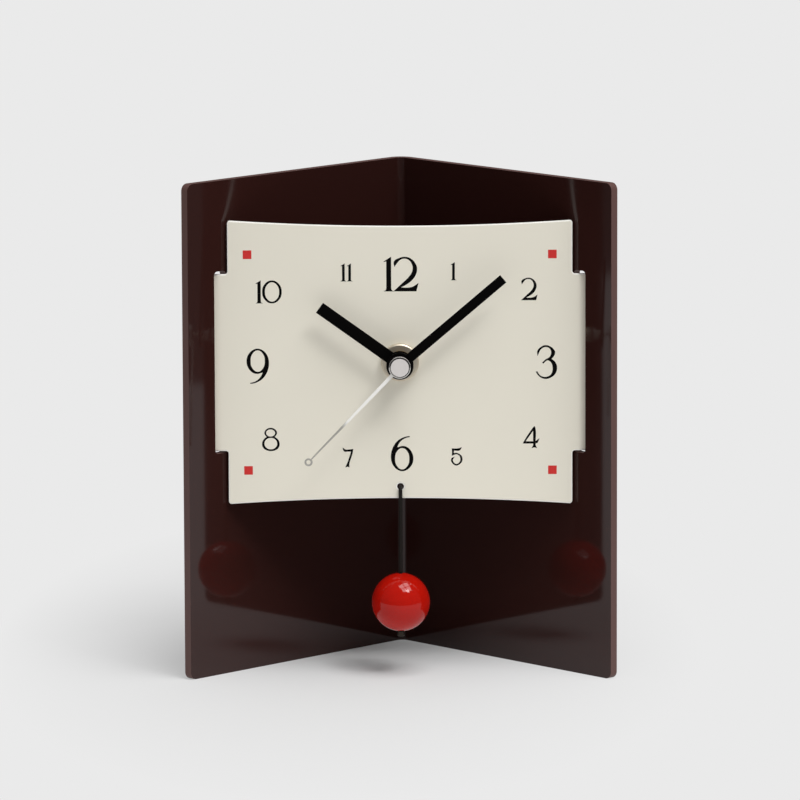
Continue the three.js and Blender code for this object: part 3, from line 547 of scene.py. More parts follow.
@dataclass(frozen=True)
class GlossLacquer(Finish):
    """Thick gloss lacquer with a trace of orange peel."""

    peel_size: float = 3.5 * MM
    peel_depth: float = 0.004 * MM
    peel_dulling: float = 0.04
    cloud_size: float = 8 * MM
    unevenness: float = 0.05
    sheen: float = 0.3

    def paint(self, shader: Shader) -> None:
        """Builds the nodes of the finish.

        Args:
            shader: The material's shader.
        """
        place = shader.place()
        peel = shader.noise(place, self.peel_size)
        cloud = shader.noise(place, self.cloud_size)
        shader.surface({
            "Base Color": shader.uneven(cloud, self.colour, self.unevenness),
            "Roughness": self.roughness + self.peel_dulling * peel,
            "Specular IOR Level": self.sheen,
            "Normal": shader.bump(peel, self.peel_depth),
        })


@dataclass(frozen=True)
class FineWinding(Finish):
    """Enamelled copper wire wound in close turns along Z, with painted shade in the grooves between
    the turns.
    """

    wire_size: float = 0.12 * MM
    groove_shade: float = 0.5
    metal: float = 0.8
    ridge_dulling: float = 0.1

    def paint(self, shader: Shader) -> None:
        """Builds the nodes of the finish.

        Args:
            shader: The material's shader.
        """
        _, _, z = shader.axes(shader.place())
        radius = self.wire_size / 2
        turns = shader.node("ShaderNodeMath", {"operation": "PINGPONG"}, {0: z, 1: radius})
        ridge = turns * (1 / radius)
        # Painted shade: the grooves between the turns are darker.
        groove = tint(self.colour, self.groove_shade)
        shader.surface({
            "Base Color": shader.mix(ridge, groove, tint(self.colour)),
            "Metallic": self.metal,
            "Roughness": self.roughness + self.ridge_dulling * ridge,
            "Normal": shader.bump(ridge, radius),
        })


SMOKED_ACRYLIC = PolishedSheet("smoked_acrylic", Slot.ACRYLIC, "2F1815", 0.03)
SAWN_ACRYLIC = SprayedPaint("sawn_acrylic", Slot.ACRYLIC, "5F4440", 0.5, unevenness=0.08, sheen=0.3)
CREAM_PAINT = SprayedPaint("cream_paint", Slot.DIAL, "EDE8D9", 0.5)
PALE_EDGE = SprayedPaint("pale_edge", Slot.DIAL, "FBF9F2", 0.3)
BLACK_INK = PrintedInk("black_ink", Slot.HAND, "030202", 0.55)
RED_INK = PrintedInk("red_ink", Slot.BALL, "D23A38", 0.55)
BLACK_PAINT = SprayedPaint("black_paint", Slot.HAND, "040303", 0.5, unevenness=0.1, sheen=0.05)
WHITE_NEEDLE = WhiteToSteelNeedle("white_needle", Slot.NEEDLE, "FAF8F4", 0.35, "B4B1AA", 27.5 * MM)
SATIN_CAP = SprayedPaint("satin_cap", Slot.CAP, "DAD5D2", 0.35)
BRIGHT_RIM = WorkedMetal("bright_rim", Slot.CAP, "C8C6C2", 0.15, Lay.TURNED)
PLATED_NUT = WorkedMetal("plated_nut", Slot.NUT, "E0D6C4", 0.5, Lay.TURNED)
TURNED_BRASS = WorkedMetal("turned_brass", Slot.BRASS, "C2A566", 0.3, Lay.TURNED)
BLACK_RUBBER = MouldedPlastic("black_rubber", Slot.RUBBER, "1A1A1A", 0.85, grain_size=0.2 * MM)
BLACK_CASE = MouldedPlastic("black_case", Slot.CASE, "1F1F21", 0.5)
PALE_PLASTIC = MouldedPlastic(
    "pale_plastic", Slot.TRAIN, "E6E2D6", 0.45, grain_depth=0.004 * MM, mottle=0.03,
)
BOBBIN_PLASTIC = MouldedPlastic(
    "bobbin_plastic", Slot.BOBBIN, "E8E8E4", 0.45, grain_depth=0.004 * MM, mottle=0.03,
)
SINTERED_MAGNET = MouldedPlastic("sintered_magnet", Slot.MAGNET, "4A4A4C", 0.45, mottle=0.2)
STAMPED_IRON = WorkedMetal("stamped_iron", Slot.IRON, "8E8E8E", 0.4, Lay.ALONG_Z)
COPPER_WIRE = FineWinding("copper_wire", Slot.COPPER, "B8642E", 0.3)
GREEN_BOARD = MouldedPlastic(
    "green_board", Slot.BOARD, "2C6B3C", 0.4, grain_depth=0.005 * MM, mottle=0.15,
)
BLACK_RESIN = MouldedPlastic("black_resin", Slot.RESIN, "101010", 0.3, grain_depth=0.003 * MM)
DRAWN_CAN = WorkedMetal("drawn_can", Slot.CAN, "C4C6C8", 0.28, Lay.ALONG_Z)
BATTERY_SLEEVE = MouldedPlastic(
    "battery_sleeve", Slot.SLEEVE, "5D6A74", 0.3, grain_depth=0.002 * MM, mottle=0.05,
)
NICKEL_PLATE = WorkedMetal("nickel_plate", Slot.NICKEL, "C9C9C4", 0.28, Lay.ALONG_X)
BLACK_WIRE = SprayedPaint("black_wire", Slot.WIRE, "1C1815", 0.5, unevenness=0.1, sheen=0.15)
DARK_NUT = WorkedMetal("dark_nut", Slot.WIRE, "3A342F", 0.35, Lay.ALONG_Z)
RED_LACQUER = GlossLacquer("red_lacquer", Slot.BALL, "B01409", 0.03)


class Box:
    """The box of a node of the clock."""

    def __init__(self, node: str) -> None:
        """Reads the box of a node."""
        self.low, self.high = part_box(node)

    @property
    def centre(self) -> Vector:
        """The middle of the box."""
        return (self.low + self.high) / 2

    @property
    def size(self) -> Vector:
        """The lengths of the box's sides."""
        return self.high - self.low


SHAFT_HEIGHT = Box("second_hand_cap").centre.z  # of the hands' axis above the table


def facing(front: float, angle: float = 0.0) -> Matrix:
    """Where a flat drawing lies when it faces the viewer with its origin on the hands' axis.

    Args:
        front: Place of the drawing's plane along Y.
        angle: How far it is turned clockwise, in degrees.

    Returns:
        The matrix from the drawing, x right, y up, z toward the viewer, to the clock's frame.
    """
    upright = Matrix.Rotation(QUARTER, 4, "X")
    turned = Matrix.Rotation(-math.radians(angle), 4, "Z")
    return Matrix.Translation((0, front, SHAFT_HEIGHT)) @ upright @ turned


def arc(centre: Point, radius: float, start: float, end: float, steps: int) -> List[Point]:
    """Points on a circle's arc.

    Args:
        centre: Middle of the circle.
        radius: Its radius.
        start: First angle in radians, from +x toward +y.
        end: Last angle.
        steps: How many steps there are between the two.

    Returns:
        One point more than there are steps.
    """
    angles = [start + (end - start) * i / steps for i in range(steps + 1)]
    return [(centre[0] + radius * math.cos(a), centre[1] + radius * math.sin(a)) for a in angles]


def ring(centre: Point, radius: float, steps: int = ROUND_STEPS) -> List[Point]:
    """The points of a whole circle, without its first point again."""
    return arc(centre, radius, 0.0, WHOLE, steps)[:-1]


def rectangle(left: float, right: float, low: float, high: float) -> List[Point]:
    """The corners of a rectangle, anticlockwise from the lower left."""
    return [(left, low), (right, low), (right, high), (left, high)]


def contour(text: str) -> List[Knot]:
    """Reads an outline written as knots in thousandths of the figure's height.

    Args:
        text: The knots as "x,y" with a star after those that are corners.

    Returns:
        The knots in figure heights.
    """
    knots = []
    for word in text.split():
        x, y = word.rstrip("*").split(",")
        turn = Turn.CORNER if word.endswith("*") else Turn.SMOOTH
        knots.append(Knot(int(x) / 1000, int(y) / 1000, turn))
    return knots


def oval(x: float, y: float, half_width: float, half_height: float) -> List[Knot]:
    """An ellipse as smooth knots, from its middle and half sizes in figure heights."""
    circle = ring((0.0, 0.0), 1.0, OVAL_KNOTS)
    return [Knot(x + half_width * u, y + half_height * v, Turn.SMOOTH) for u, v in circle]


def add_run(curve: bpy.types.Curve, places: Sequence[Place], closed: bool) -> None:
    """Adds a run of straight steps to a curve.

    Args:
        curve: The curve.
        places: The points of the run.
        closed: Whether it comes back to its start.
    """
    spline = curve.splines.new("POLY")
    spline.points.add(len(places) - 1)
    for point, place in zip(spline.points, places):
        point.co = (*place, 1)
    spline.use_cyclic_u = closed


def add_contour(curve: bpy.types.Curve, knots: Sequence[Knot], scale: float, offset: Point) -> None:
    """Adds a closed outline of knots to a curve.

    Args:
        curve: The curve.
        knots: The outline's knots.
        scale: Factor on them.
        offset: How far they are then moved.
    """
    spline = curve.splines.new("BEZIER")
    spline.bezier_points.add(len(knots) - 1)
    for point, knot in zip(spline.bezier_points, knots):
        point.co = (offset[0] + scale * knot.x, offset[1] + scale * knot.y, 0)
        point.handle_left_type = knot.turn.value
        point.handle_right_type = knot.turn.value
    spline.use_cyclic_u = True


def smooth_by_angle(bm: bmesh.types.BMesh, degrees: float) -> None:
    """Shades faces smooth, with an edge wherever they meet at more than the given angle.

    Args:
        bm: The faces.
        degrees: The angle.
    """
    for face in bm.faces:
        face.smooth = True
    for edge in bm.edges:
        edge.smooth = len(edge.link_faces) == 2 and edge.calc_face_angle() < math.radians(degrees)


def to_mesh(bm: bmesh.types.BMesh, name: str, degrees: float = SHADING_ANGLE) -> bpy.types.Mesh:
    """Welds and shades a bmesh, turns it into a mesh and frees it.

    Args:
        bm: The bmesh.
        name: Name of the mesh.
        degrees: Angle over which an edge is shaded sharp.

    Returns:
        The mesh.
    """
    bmesh.ops.remove_doubles(bm, verts=bm.verts, dist=WELD)
    bmesh.ops.recalc_face_normals(bm, faces=bm.faces)
    smooth_by_angle(bm, degrees)
    mesh = bpy.data.meshes.new(name)
    bm.to_mesh(mesh)
    bm.free()
    return mesh


def new_curve(name: str, dimensions: str) -> bpy.types.Curve:
    """Starts a curve with enough steps for round stretches.

    Args:
        name: Name of the curve.
        dimensions: "2D" for one that is filled, "3D" for a path.

    Returns:
        The curve.
    """
    curve = bpy.data.curves.new(name, "CURVE")
    curve.dimensions = dimensions
    curve.resolution_u = CURVE_STEPS
    return curve


def linked(name: str, data: bpy.types.ID) -> bpy.types.Object:
    """Makes an object and puts it into the scene.

    Args:
        name: Name of the object.
        data: Its mesh, curve, lamp or camera.

    Returns:
        The object.
    """
    thing = bpy.data.objects.new(name, data)
    bpy.context.scene.collection.objects.link(thing)
    return thing


def mesh_of_curve(
    curve: bpy.types.Curve, matrix: Matrix, degrees: float = SHADING_ANGLE,
) -> bpy.types.Mesh:
    """Turns a curve into a closed mesh at its place, and removes the curve.

    Args:
        curve: The finished curve.
        matrix: Where it goes in the clock's frame.
        degrees: Angle over which an edge is shaded sharp.

    Returns:
        The mesh.
    """
    holder = linked(curve.name, curve)
    bpy.context.view_layer.update()
    graph = bpy.context.evaluated_depsgraph_get()
    raw = bpy.data.meshes.new_from_object(holder.evaluated_get(graph))
    raw.transform(matrix)
    bm = bmesh.new()
    bm.from_mesh(raw)
    name = curve.name
    bpy.data.objects.remove(holder)
    bpy.data.curves.remove(curve)
    bpy.data.meshes.remove(raw)
    return to_mesh(bm, name, degrees)


def cut_plate(
    name: str,
    loops: Sequence[Loop],
    depth: float,
    rounding: float,
    place: Matrix,
    inset: float = 0.0,
) -> bpy.types.Mesh:
    """A flat plate with rounded edges, cut to an outline with holes.

    Args:
        name: Name of the mesh.
        loops: The outline and its holes.
        depth: Thickness of the plate, half of it on each side of the drawing.
        rounding: Radius of its edges.
        place: Where the drawing lies in the clock's frame.
        inset: How far the plate stays inside its outline.

    Returns:
        The mesh.
    """
    curve = new_curve(name, "2D")
    curve.fill_mode = "BOTH"
    curve.extrude = depth / 2 - rounding
    curve.bevel_depth = rounding
    curve.bevel_resolution = PLATE_EDGE_STEPS
    curve.offset = -rounding - inset
    for loop in loops:
        add_run(curve, [(x, y, 0.0) for x, y in loop], closed=True)
    return mesh_of_curve(curve, place)


def turned(
    name: str, profile: Loop, origin: Vector, axis: Vector, steps: int = RING_STEPS,
) -> bpy.types.Mesh:
    """A turned solid from its half section.

    Args:
        name: Name of the mesh.
        profile: Distances along the axis and from it; it closes on itself or on the axis.
        origin: Point on the axis that the distances along it start from.
        axis: Direction of the axis.
        steps: How many steps there are round the axis.

    Returns:
        The mesh.
    """
    across = axis.orthogonal().normalized()
    bm = bmesh.new()
    points = [bm.verts.new(origin + axis * along + across * out) for along, out in profile]
    edges = [bm.edges.new((a, b)) for a, b in zip(points, points[1:] + points[:1])]
    bmesh.ops.spin(
        bm, geom=points + edges, cent=origin, axis=axis, angle=WHOLE, steps=steps, use_merge=True,
    )
    bmesh.ops.remove_doubles(bm, verts=bm.verts, dist=WELD)
    bmesh.ops.dissolve_degenerate(bm, dist=WELD, edges=bm.edges)
    return to_mesh(bm, name)


def turned_on_shaft(name: str, profile: Loop, box: Box, steps: int = RING_STEPS) -> bpy.types.Mesh:
    """A solid turned about the hands' axis, set out forward from the back of a node's box."""
    return turned(name, profile, Vector((0, box.high.y, SHAFT_HEIGHT)), FORWARD, steps)


class Assembly:
    """What the sub-assemblies share: setting a finished mesh on its body."""

    def place(
        self, mesh: bpy.types.Mesh, body: Body, finish: Finish, *nodes: str,
    ) -> bpy.types.Object:
        """Makes a piece of a mesh.

        Args:
            mesh: The mesh, at its place in the clock's frame; the piece takes its name.
            body: What the piece moves with.
            finish: Its finish.
            nodes: The nodes of the clock that it stands for.

        Returns:
            The piece.
        """
        piece = linked(mesh.name, mesh)
        mesh.materials.append(finish.material())
        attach(piece, body.value)
        if nodes:
            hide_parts(*nodes)
        LOG.info("%s: %d faces on %s, %s", piece.name, len(mesh.polygons), body.value, finish.name)
        return piece

    def keep_flats(self, piece: bpy.types.Object) -> None:
        """Shades a piece so that its large flat faces stay flat up to their rounded edges.

        Args:
            piece: The piece.
        """
        weighted = piece.modifiers.new("flat_faces", "WEIGHTED_NORMAL")
        weighted.weight = LARGE_FACES_LEAD
        weighted.keep_sharp = True

    def round_edges(
        self, piece: bpy.types.Object, radius: float, degrees: float = EDGE_ANGLE,
    ) -> None:
        """Rounds the sharp edges of a piece and keeps its flats flat.

        Args:
            piece: The piece.
            radius: Radius of its edges.
            degrees: Angle over which two faces meet in a sharp edge.
        """
        bevel = piece.modifiers.new("edge_rounding", "BEVEL")
        bevel.width = radius
        bevel.segments = EDGE_SEGMENTS
        bevel.limit_method = "ANGLE"
        bevel.angle_limit = math.radians(degrees)
        bevel.harden_normals = True

    def refined(
        self, node: str, name: str, body: Body, finish: Finish, radius: float,
    ) -> bpy.types.Object:
        """Makes a piece of a node's own shape, with its flats joined and its edges rounded.

        Args:
            node: The node.
            name: Name of the piece.
            body: What the piece moves with.
            finish: Its finish.
            radius: Radius of its edges.

        Returns:
            The piece.
        """
        bm = bmesh.new()
        bm.from_mesh(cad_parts[node].data)
        bmesh.ops.remove_doubles(bm, verts=bm.verts, dist=WELD)
        flat = math.radians(FLAT_ANGLE)
        bmesh.ops.dissolve_limit(bm, angle_limit=flat, verts=bm.verts, edges=bm.edges)
        piece = self.place(to_mesh(bm, name), body, finish, node)
        self.round_edges(piece, radius)
        return piece

    def dress(self, node: str, finish: Finish) -> None:
        """Gives its finish to a node that stays as it is.

        Args:
            node: The node.
            finish: Its finish.
        """
        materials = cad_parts[node].data.materials
        materials.clear()
        materials.append(finish.material())
        LOG.info("%s: kept, %s", node, finish.name)


@dataclass
class Stand(Assembly):
    """The acrylic sheet, bent at a right angle, with a slot in each wing."""

    thickness: float = 3 * MM
    bend_radius: float = 2.5 * MM
    corner_radius: float = 2.5 * MM
    slot_start: float = 85.11 * MM
    slot_end: float = 90.65 * MM
    slot_half_height: float = 31.9 * MM
    slot_corner: float = 1.4 * MM
    edge_radius: float = 0.15 * MM
    bend_steps: int = 24
    corner_steps: int = 8
    box: Box = field(default_factory=lambda: Box("v_frame"))

    def fold(self, along: float, out: float, height: float) -> Vector:
        """Bends a point of the flat sheet.

        Args:
            along: Distance from the fold on the inside face, negative on the left wing.
            out: Distance out from the inside face.
            height: Height above the table.

        Returns:
            The point in the clock's frame.
        """
        centre_y = self.box.high.y - self.bend_radius - self.thickness
        if abs(along) < self.bend_radius:
            angle = along / self.bend_radius * QUARTER / 2
            reach = self.bend_radius + out
            return Vector((reach * math.sin(angle), centre_y + reach * math.cos(angle), height))
        fold_y = centre_y + self.bend_radius / DIAGONAL
        side = math.copysign(1, along)
        return Vector((
            side * (abs(along) + out) * DIAGONAL,
            fold_y + (out - abs(along)) * DIAGONAL,
            height,
        ))

    def cells(self) -> List[List[Point]]:
        """Cuts the flat sheet into polygons.

        Returns:
            The polygons of a sheet with round corners and a round-cornered slot in each wing.
        """
        length = self.box.size.x / 2 / DIAGONAL - self.thickness
        height = self.box.size.z
        radius, slot_radius = self.corner_radius, self.slot_corner
        steps = range(self.bend_steps + 1)
        bend = [self.bend_radius * (2 * i / self.bend_steps - 1) for i in steps]
        near_end, far_end = self.slot_start, self.slot_end
        slot_columns = [near_end, near_end + slot_radius, far_end - slot_radius, far_end]
        wing = slot_columns + [length - radius, length]
        columns = [-a for a in reversed(wing)] + bend + wing
        low_end = SHAFT_HEIGHT - self.slot_half_height
        high_end = SHAFT_HEIGHT + self.slot_half_height
        slot_rows = [low_end, low_end + slot_radius, high_end - slot_radius, high_end]
        rows = [0.0, radius] + slot_rows + [height - radius, height]
        cells = []
        for left, right in zip(columns, columns[1:]):
            near, far = sorted((abs(left), abs(right)))
            for low, high in zip(rows, rows[1:]):
                cell = rectangle(left, right, low, high)
                at_end, at_foot, at_head = far == length, low == 0.0, high == height
                across_slot = near >= near_end and far <= far_end
                if across_slot and low >= low_end and high <= high_end:
                    at_side = near == near_end or far == far_end
                    if at_side and (low == low_end or high == high_end):
                        toward_right = (far == far_end) == (right > 0)
                        upper = high == high_end
                        cell = self.corner(cell, toward_right, upper, slot_radius, hollow=True)
                        cells.append(cell)
                    continue
                if at_end and (at_foot or at_head):
                    cell = self.corner(cell, right > 0, at_head, radius, hollow=False)
                cells.append(cell)
        return cells

    def corner(
        self, cell: List[Point], right: bool, upper: bool, radius: float, hollow: bool,
    ) -> List[Point]:
        """Cuts a square cell along an arc about one of its corners.

        Args:
            cell: Its four corners, anticlockwise from the lower left.
            right: Whether the outer corner is on the right.
            upper: Whether the outer corner is at the top.
            radius: Radius of the arc, the side of the cell.
            hollow: Whether what is outside the arc is kept, as in the corner of a slot.

        Returns:
            The cell inside or outside the arc.
        """
        outer = (2 if right else 3) if upper else (1 if right else 0)
        centre = cell[(outer + 2) % 4]
        start = (outer - 2) * QUARTER
        bow = arc(centre, radius, start, start + QUARTER, self.corner_steps)
        return [cell[outer]] + bow[::-1] if hollow else bow + [centre]

    def build(self) -> None:
        """Builds and dresses the sheet."""
        bm = bmesh.new()
        for cell in self.cells():
            bm.faces.new([bm.verts.new((along, 0, height)) for along, height in cell])
        bmesh.ops.remove_doubles(bm, verts=bm.verts, dist=WELD)
        grown = bmesh.ops.extrude_face_region(bm, geom=bm.faces[:])
        for item in grown["geom"]:
            if isinstance(item, bmesh.types.BMVert):
                item.co.y = self.thickness
        bm.normal_update()
        for face in bm.faces:
            face.material_index = int(abs(face.normal.y) < DIAGONAL)  # one on the cut edges
        for vert in bm.verts:
            vert.co = self.fold(*vert.co)
        piece = self.place(to_mesh(bm, "folded_sheet"), Body.STAND, SMOKED_ACRYLIC, "v_frame")
        piece.data.materials.append(SAWN_ACRYLIC.material())
        self.round_edges(piece, self.edge_radius)


SIX_WIDTH = 0.629  # in figure heights
FIGURE_SIX = (
    contour(
        "528,1000* 441,990 319,948 188,863 92,742 31,607 0,437 17,279 74,148 179,44 319,0 441,33 "
        "546,122 607,227 629,367 607,489 546,603 450,686 328,716 231,693 169,677* 231,803 "
        "319,898 424,956 528,980*"
    ),
    oval(0.316, 0.354, 0.205, 0.311),
)
FIGURE_NINE = tuple([Knot(SIX_WIDTH - k.x, 1 - k.y, k.turn) for k in loop] for loop in FIGURE_SIX)
FIGURES: Dict[str, Sequence[Sequence[Knot]]] = {
    "0": (oval(0.423, 0.5, 0.423, 0.5), oval(0.427, 0.497, 0.316, 0.433)),
    "1": (contour("207,1000* 0,868* 0,858* 74,875* 74,90* 53,28 4,0* 283,0* 228,28 207,90*"),),
    "2": (
        contour(
            "20,718* 12,865 156,963 323,1000 499,943 635,787 670,670 635,484 528,327 352,191 "
            "191,110* 352,98 499,114 596,152 709,235* 650,0* 0,0* 254,239 430,406 518,533 "
            "552,670 528,787 459,894 332,953 196,924 98,826"
        ),
    ),
    "3": (
        contour(
            "49,692* 40,816 72,881 157,955 283,1000 435,955 534,861 565,789 534,691 451,592* "
            "543,525 601,430 619,332 596,206 525,99 399,22 274,0 157,34 67,106 0,208* 34,220* "
            "112,109 202,61 274,52 381,79 457,148 491,242 493,350 462,466 404,531 345,553 "
            "283,522 224,459* 186,480* 247,543 309,590 390,637 433,700 453,780 439,852 381,926 "
            "283,951 211,931 130,865 87,780"
        ),
    ),
    "4": (
        contour(
            "530,1000* 569,861 569,307* 619,347 738,436* 658,243* 569,213* 569,139 629,0* 520,35 "
            "396,0* 465,139 465,213* 0,213* 50,317 490,975"
        ),
        contour("465,817* 465,304* 110,304*"),
    ),
    "5": (
        contour(
            "39,926* 346,922 468,948 554,1000* 515,887 442,825 147,823* 134,667* 277,684 424,629 "
            "550,528 603,377 589,247 511,121 390,35 277,0 147,52 43,165 0,264 26,390 95,436 "
            "177,465* 121,377 82,307 91,234 147,152 277,72 390,115 468,203 502,316 492,429 "
            "442,539 355,600 277,622 165,591 43,539* 54,758"
        ),
    ),
    "6": FIGURE_SIX,
    "7": (
        contour(
            "2,1000* 52,970 130,911 337,911 529,935* 527,901 488,702 424,494 363,313 324,149 "
            "330,0* 242,29 138,0* 182,105 251,252 320,468 389,667 428,812* 251,812 130,805 "
            "62,838"
        ),
    ),
    "8": (
        contour(
            "370,1000 540,945 635,801 600,690 526,611* 680,490 744,306 690,130 540,30 372,0 "
            "200,30 55,130 0,306 65,490 204,611* 135,690 105,801 200,945"
        ),
        oval(0.365, 0.782, 0.2, 0.16),
        oval(0.372, 0.318, 0.28, 0.255),
    ),
    "9": FIGURE_NINE,
}


class Numeral(NamedTuple):
    """An hour on the dial: its lower left corner from the hands' axis, height and pitch, in mm."""

    text: str
    left: float
    bottom: float
    height: float
    pitch: float = 0.0


NUMERALS = (
    Numeral("12", -5.5, 24.72, 11.98, 3.42),
    Numeral("1", 17.71, 28.57, 6.18),
    Numeral("2", 42.04, 21.53, 7.77),
    Numeral("3", 47.07, -6.05, 11.73),
    Numeral("4", 42.55, -30.38, 7.65),
    Numeral("5", 17.62, -36.45, 6.43),
    Numeral("6", -3.25, -38.38, 12.24),
    Numeral("7", -20.01, -37.0, 6.82),
    Numeral("8", -47.95, -31.2, 8.08),
    Numeral("9", -53.13, -7.53, 12.22),
    Numeral("10", -49.79, 20.63, 7.91, 2.21),
    Numeral("11", -20.35, 28.25, 6.14, 2.17),
)


@dataclass
class Dial(Assembly):
    """The cream plate with its tabs, its printed hours and its corner marks."""

    half_width: float = 59.68 * MM
    edge_dip: float = 1.95 * MM
    corner_radius: float = 1 * MM
    tab_half_height: float = 31 * MM
    notch_radius: float = 0.9 * MM
    bushing_hole: float = 4.3 * MM
    pendulum_hole: float = 1.15 * MM
    pendulum_hole_height: float = 66.15 * MM
    edge_radius: float = 0.3 * MM
    paint_inset: float = 0.4 * MM
    print_depth: float = 0.03 * MM
    ink_spread: float = 0.05 * MM
    mark_size: float = 3 * MM
    mark_reach: float = 52.75 * MM
    upper_marks: float = 37.6 * MM
    lower_marks: float = -38.05 * MM
    dip_steps: int = 48
    box: Box = field(default_factory=lambda: Box("dial_plate"))

    def edge(self, half_height: float) -> List[Point]:
        """The upper edge from right to left: a shallow arc, between round corners.

        Args:
            half_height: Half the plate's height at its ends.

        Returns:
            The points of the edge.
        """
        radius = self.corner_radius
        span = self.half_width - radius
        bow = (span * span + self.edge_dip * self.edge_dip) / (2 * self.edge_dip)
        sweep = math.asin(span / bow)
        middle = (0.0, half_height - self.edge_dip + bow)
        dip = arc(middle, bow, -QUARTER + sweep, -QUARTER - sweep, self.dip_steps)
        right = arc((span, half_height - radius), radius, 0.0, QUARTER, CORNER_STEPS)
        left = arc((-span, half_height - radius), radius, QUARTER, HALF, CORNER_STEPS)
        return right[:-1] + dip + left[1:]

    def outline(self) -> List[Point]:
        """Draws the plate with its two tabs.

        Returns:
            Its outline.
        """
        reach, side, tab = self.box.size.x / 2, self.half_width, self.tab_half_height
        end, notch = self.corner_radius, self.notch_radius
        upper = self.edge(self.box.size.z / 2)
        lower = [(-x, -y) for x, y in upper]
        lower_half = arc((side + notch, -tab - notch), notch, HALF, QUARTER, CORNER_STEPS)
        lower_half += arc((reach - end, end - tab), end, -QUARTER, 0.0, CORNER_STEPS)
        right_tab = lower_half + [(x, -y) for x, y in reversed(lower_half)]
        left_tab = [(-x, -y) for x, y in right_tab]
        drop = self.box.centre.z - SHAFT_HEIGHT
        return [(x, y + drop) for x, y in upper + left_tab + lower + right_tab]

    def coat(self, number: int) -> Matrix:
        """Where a coat on the plate lies: the paint is the first, the ink on it the second."""
        rise = (number - 0.5) * self.print_depth - number * HIDDEN_OVERLAP
        return facing(self.box.low.y - rise)

    def build(self) -> None:
        """Builds and dresses the plate and what is printed on it."""
        below = (0.0, self.pendulum_hole_height - SHAFT_HEIGHT)
        hole = ring(below, self.pendulum_hole, SMALL_ROUND_STEPS)
        loops = [self.outline(), ring((0.0, 0.0), self.bushing_hole), hole]
        middle = facing(self.box.centre.y)
        plate = cut_plate("dial_panel", loops, self.box.size.y, self.edge_radius, middle)
        self.keep_flats(self.place(plate, Body.STAND, PALE_EDGE, "dial_plate"))
        coat, inset = self.coat(1), self.paint_inset
        paint = cut_plate("dial_paint", loops, self.print_depth, 0.0, coat, inset)
        self.place(paint, Body.STAND, CREAM_PAINT)
        self.place(self.hours(), Body.STAND, BLACK_INK)
        self.place(self.marks(), Body.STAND, RED_INK)

    def hours(self) -> bpy.types.Mesh:
        """Draws the twelve printed hours.

        Returns:
            One mesh of them all.
        """
        curve = new_curve("dial_hours", "2D")
        curve.fill_mode = "BOTH"
        curve.extrude = self.print_depth / 2
        curve.offset = self.ink_spread
        for numeral in NUMERALS:
            for index, figure in enumerate(numeral.text):
                left = (numeral.left + index * numeral.pitch) * MM
                for loop in FIGURES[figure]:
                    add_contour(curve, loop, numeral.height * MM, (left, numeral.bottom * MM))
        return mesh_of_curve(curve, self.coat(2))

    def marks(self) -> bpy.types.Mesh:
        """Draws the four square corner marks.

        Returns:
            One mesh of them all.
        """
        half = self.mark_size / 2
        loops = []
        for x in (-self.mark_reach, self.mark_reach):
            for y in (self.lower_marks, self.upper_marks):
                loops.append(rectangle(x - half, x + half, y - half, y + half))
        return cut_plate("corner_marks", loops, self.print_depth, 0.0, self.coat(2))


@dataclass
class Clamp(Assembly):
    """The bushing, nut and washer that hold the movement to the dial."""

    nut_bore: float = 4.15 * MM
    nut_chamfer: float = 0.4 * MM
    bushing_radius: float = 4 * MM
    bushing_bore: float = 2.8 * MM
    flange_depth: float = 0.8 * MM
    thread_pitch: float = 0.5 * MM
    thread_depth: float = 0.2 * MM
    washer_bore: float = 4.3 * MM
    edge_radius: float = 0.12 * MM
    chamfer_angle: float = 25.0

    def nut(self) -> bpy.types.Mesh:
        """The round nut, chamfered in front.

        Returns:
            Its mesh.
        """
        box = Box("dial_nut")
        depth, radius, chamfer = box.size.y, box.size.x / 2, self.nut_chamfer
        profile = [
            (0.0, self.nut_bore), (0.0, radius), (depth - chamfer, radius),
            (depth, radius - chamfer), (depth, self.nut_bore),
        ]
        return turned_on_shaft("round_nut", profile, box, FINE_RING_STEPS)

    def bushing(self) -> bpy.types.Mesh:
        """The flanged tube with its thread.

        Returns:
            Its mesh.
        """
        box = Box("threaded_bushing")
        length, flange = box.size.y, box.size.x / 2
        crest, root = self.bushing_radius, self.bushing_radius - self.thread_depth
        profile = [(0.0, self.bushing_bore), (0.0, flange), (self.flange_depth, flange)]
        along = self.flange_depth
        while along < length - self.thread_pitch:
            profile += [(along, root), (along + self.thread_pitch / 2, crest)]
            along += self.thread_pitch
        profile += [(length, root), (length, self.bushing_bore)]
        return turned_on_shaft("threaded_tube", profile, box)

    def washer(self) -> bpy.types.Mesh:
        """The washer between the movement and the dial.

        Returns:
            Its mesh.
        """
        box = Box("rubber_washer")
        depth, radius, bore = box.size.y, box.size.x / 2, self.washer_bore
        profile = [(0.0, bore), (0.0, radius), (depth, radius), (depth, bore)]
        return turned_on_shaft("soft_washer", profile, box)

    def build(self) -> None:
        """Builds and dresses the three rings."""
        nut = self.place(self.nut(), Body.STAND, PLATED_NUT, "dial_nut")
        self.round_edges(nut, self.edge_radius, self.chamfer_angle)
        self.place(self.bushing(), Body.STAND, TURNED_BRASS, "threaded_bushing")
        washer = self.place(self.washer(), Body.STAND, BLACK_RUBBER, "rubber_washer")
        self.round_edges(washer, self.edge_radius)


class BarHand(NamedTuple):
    """A bar hand: its length and width, its angle clockwise from 12 in degrees, and its bore."""

    length: float
    width: float
    angle: float
    bore: float


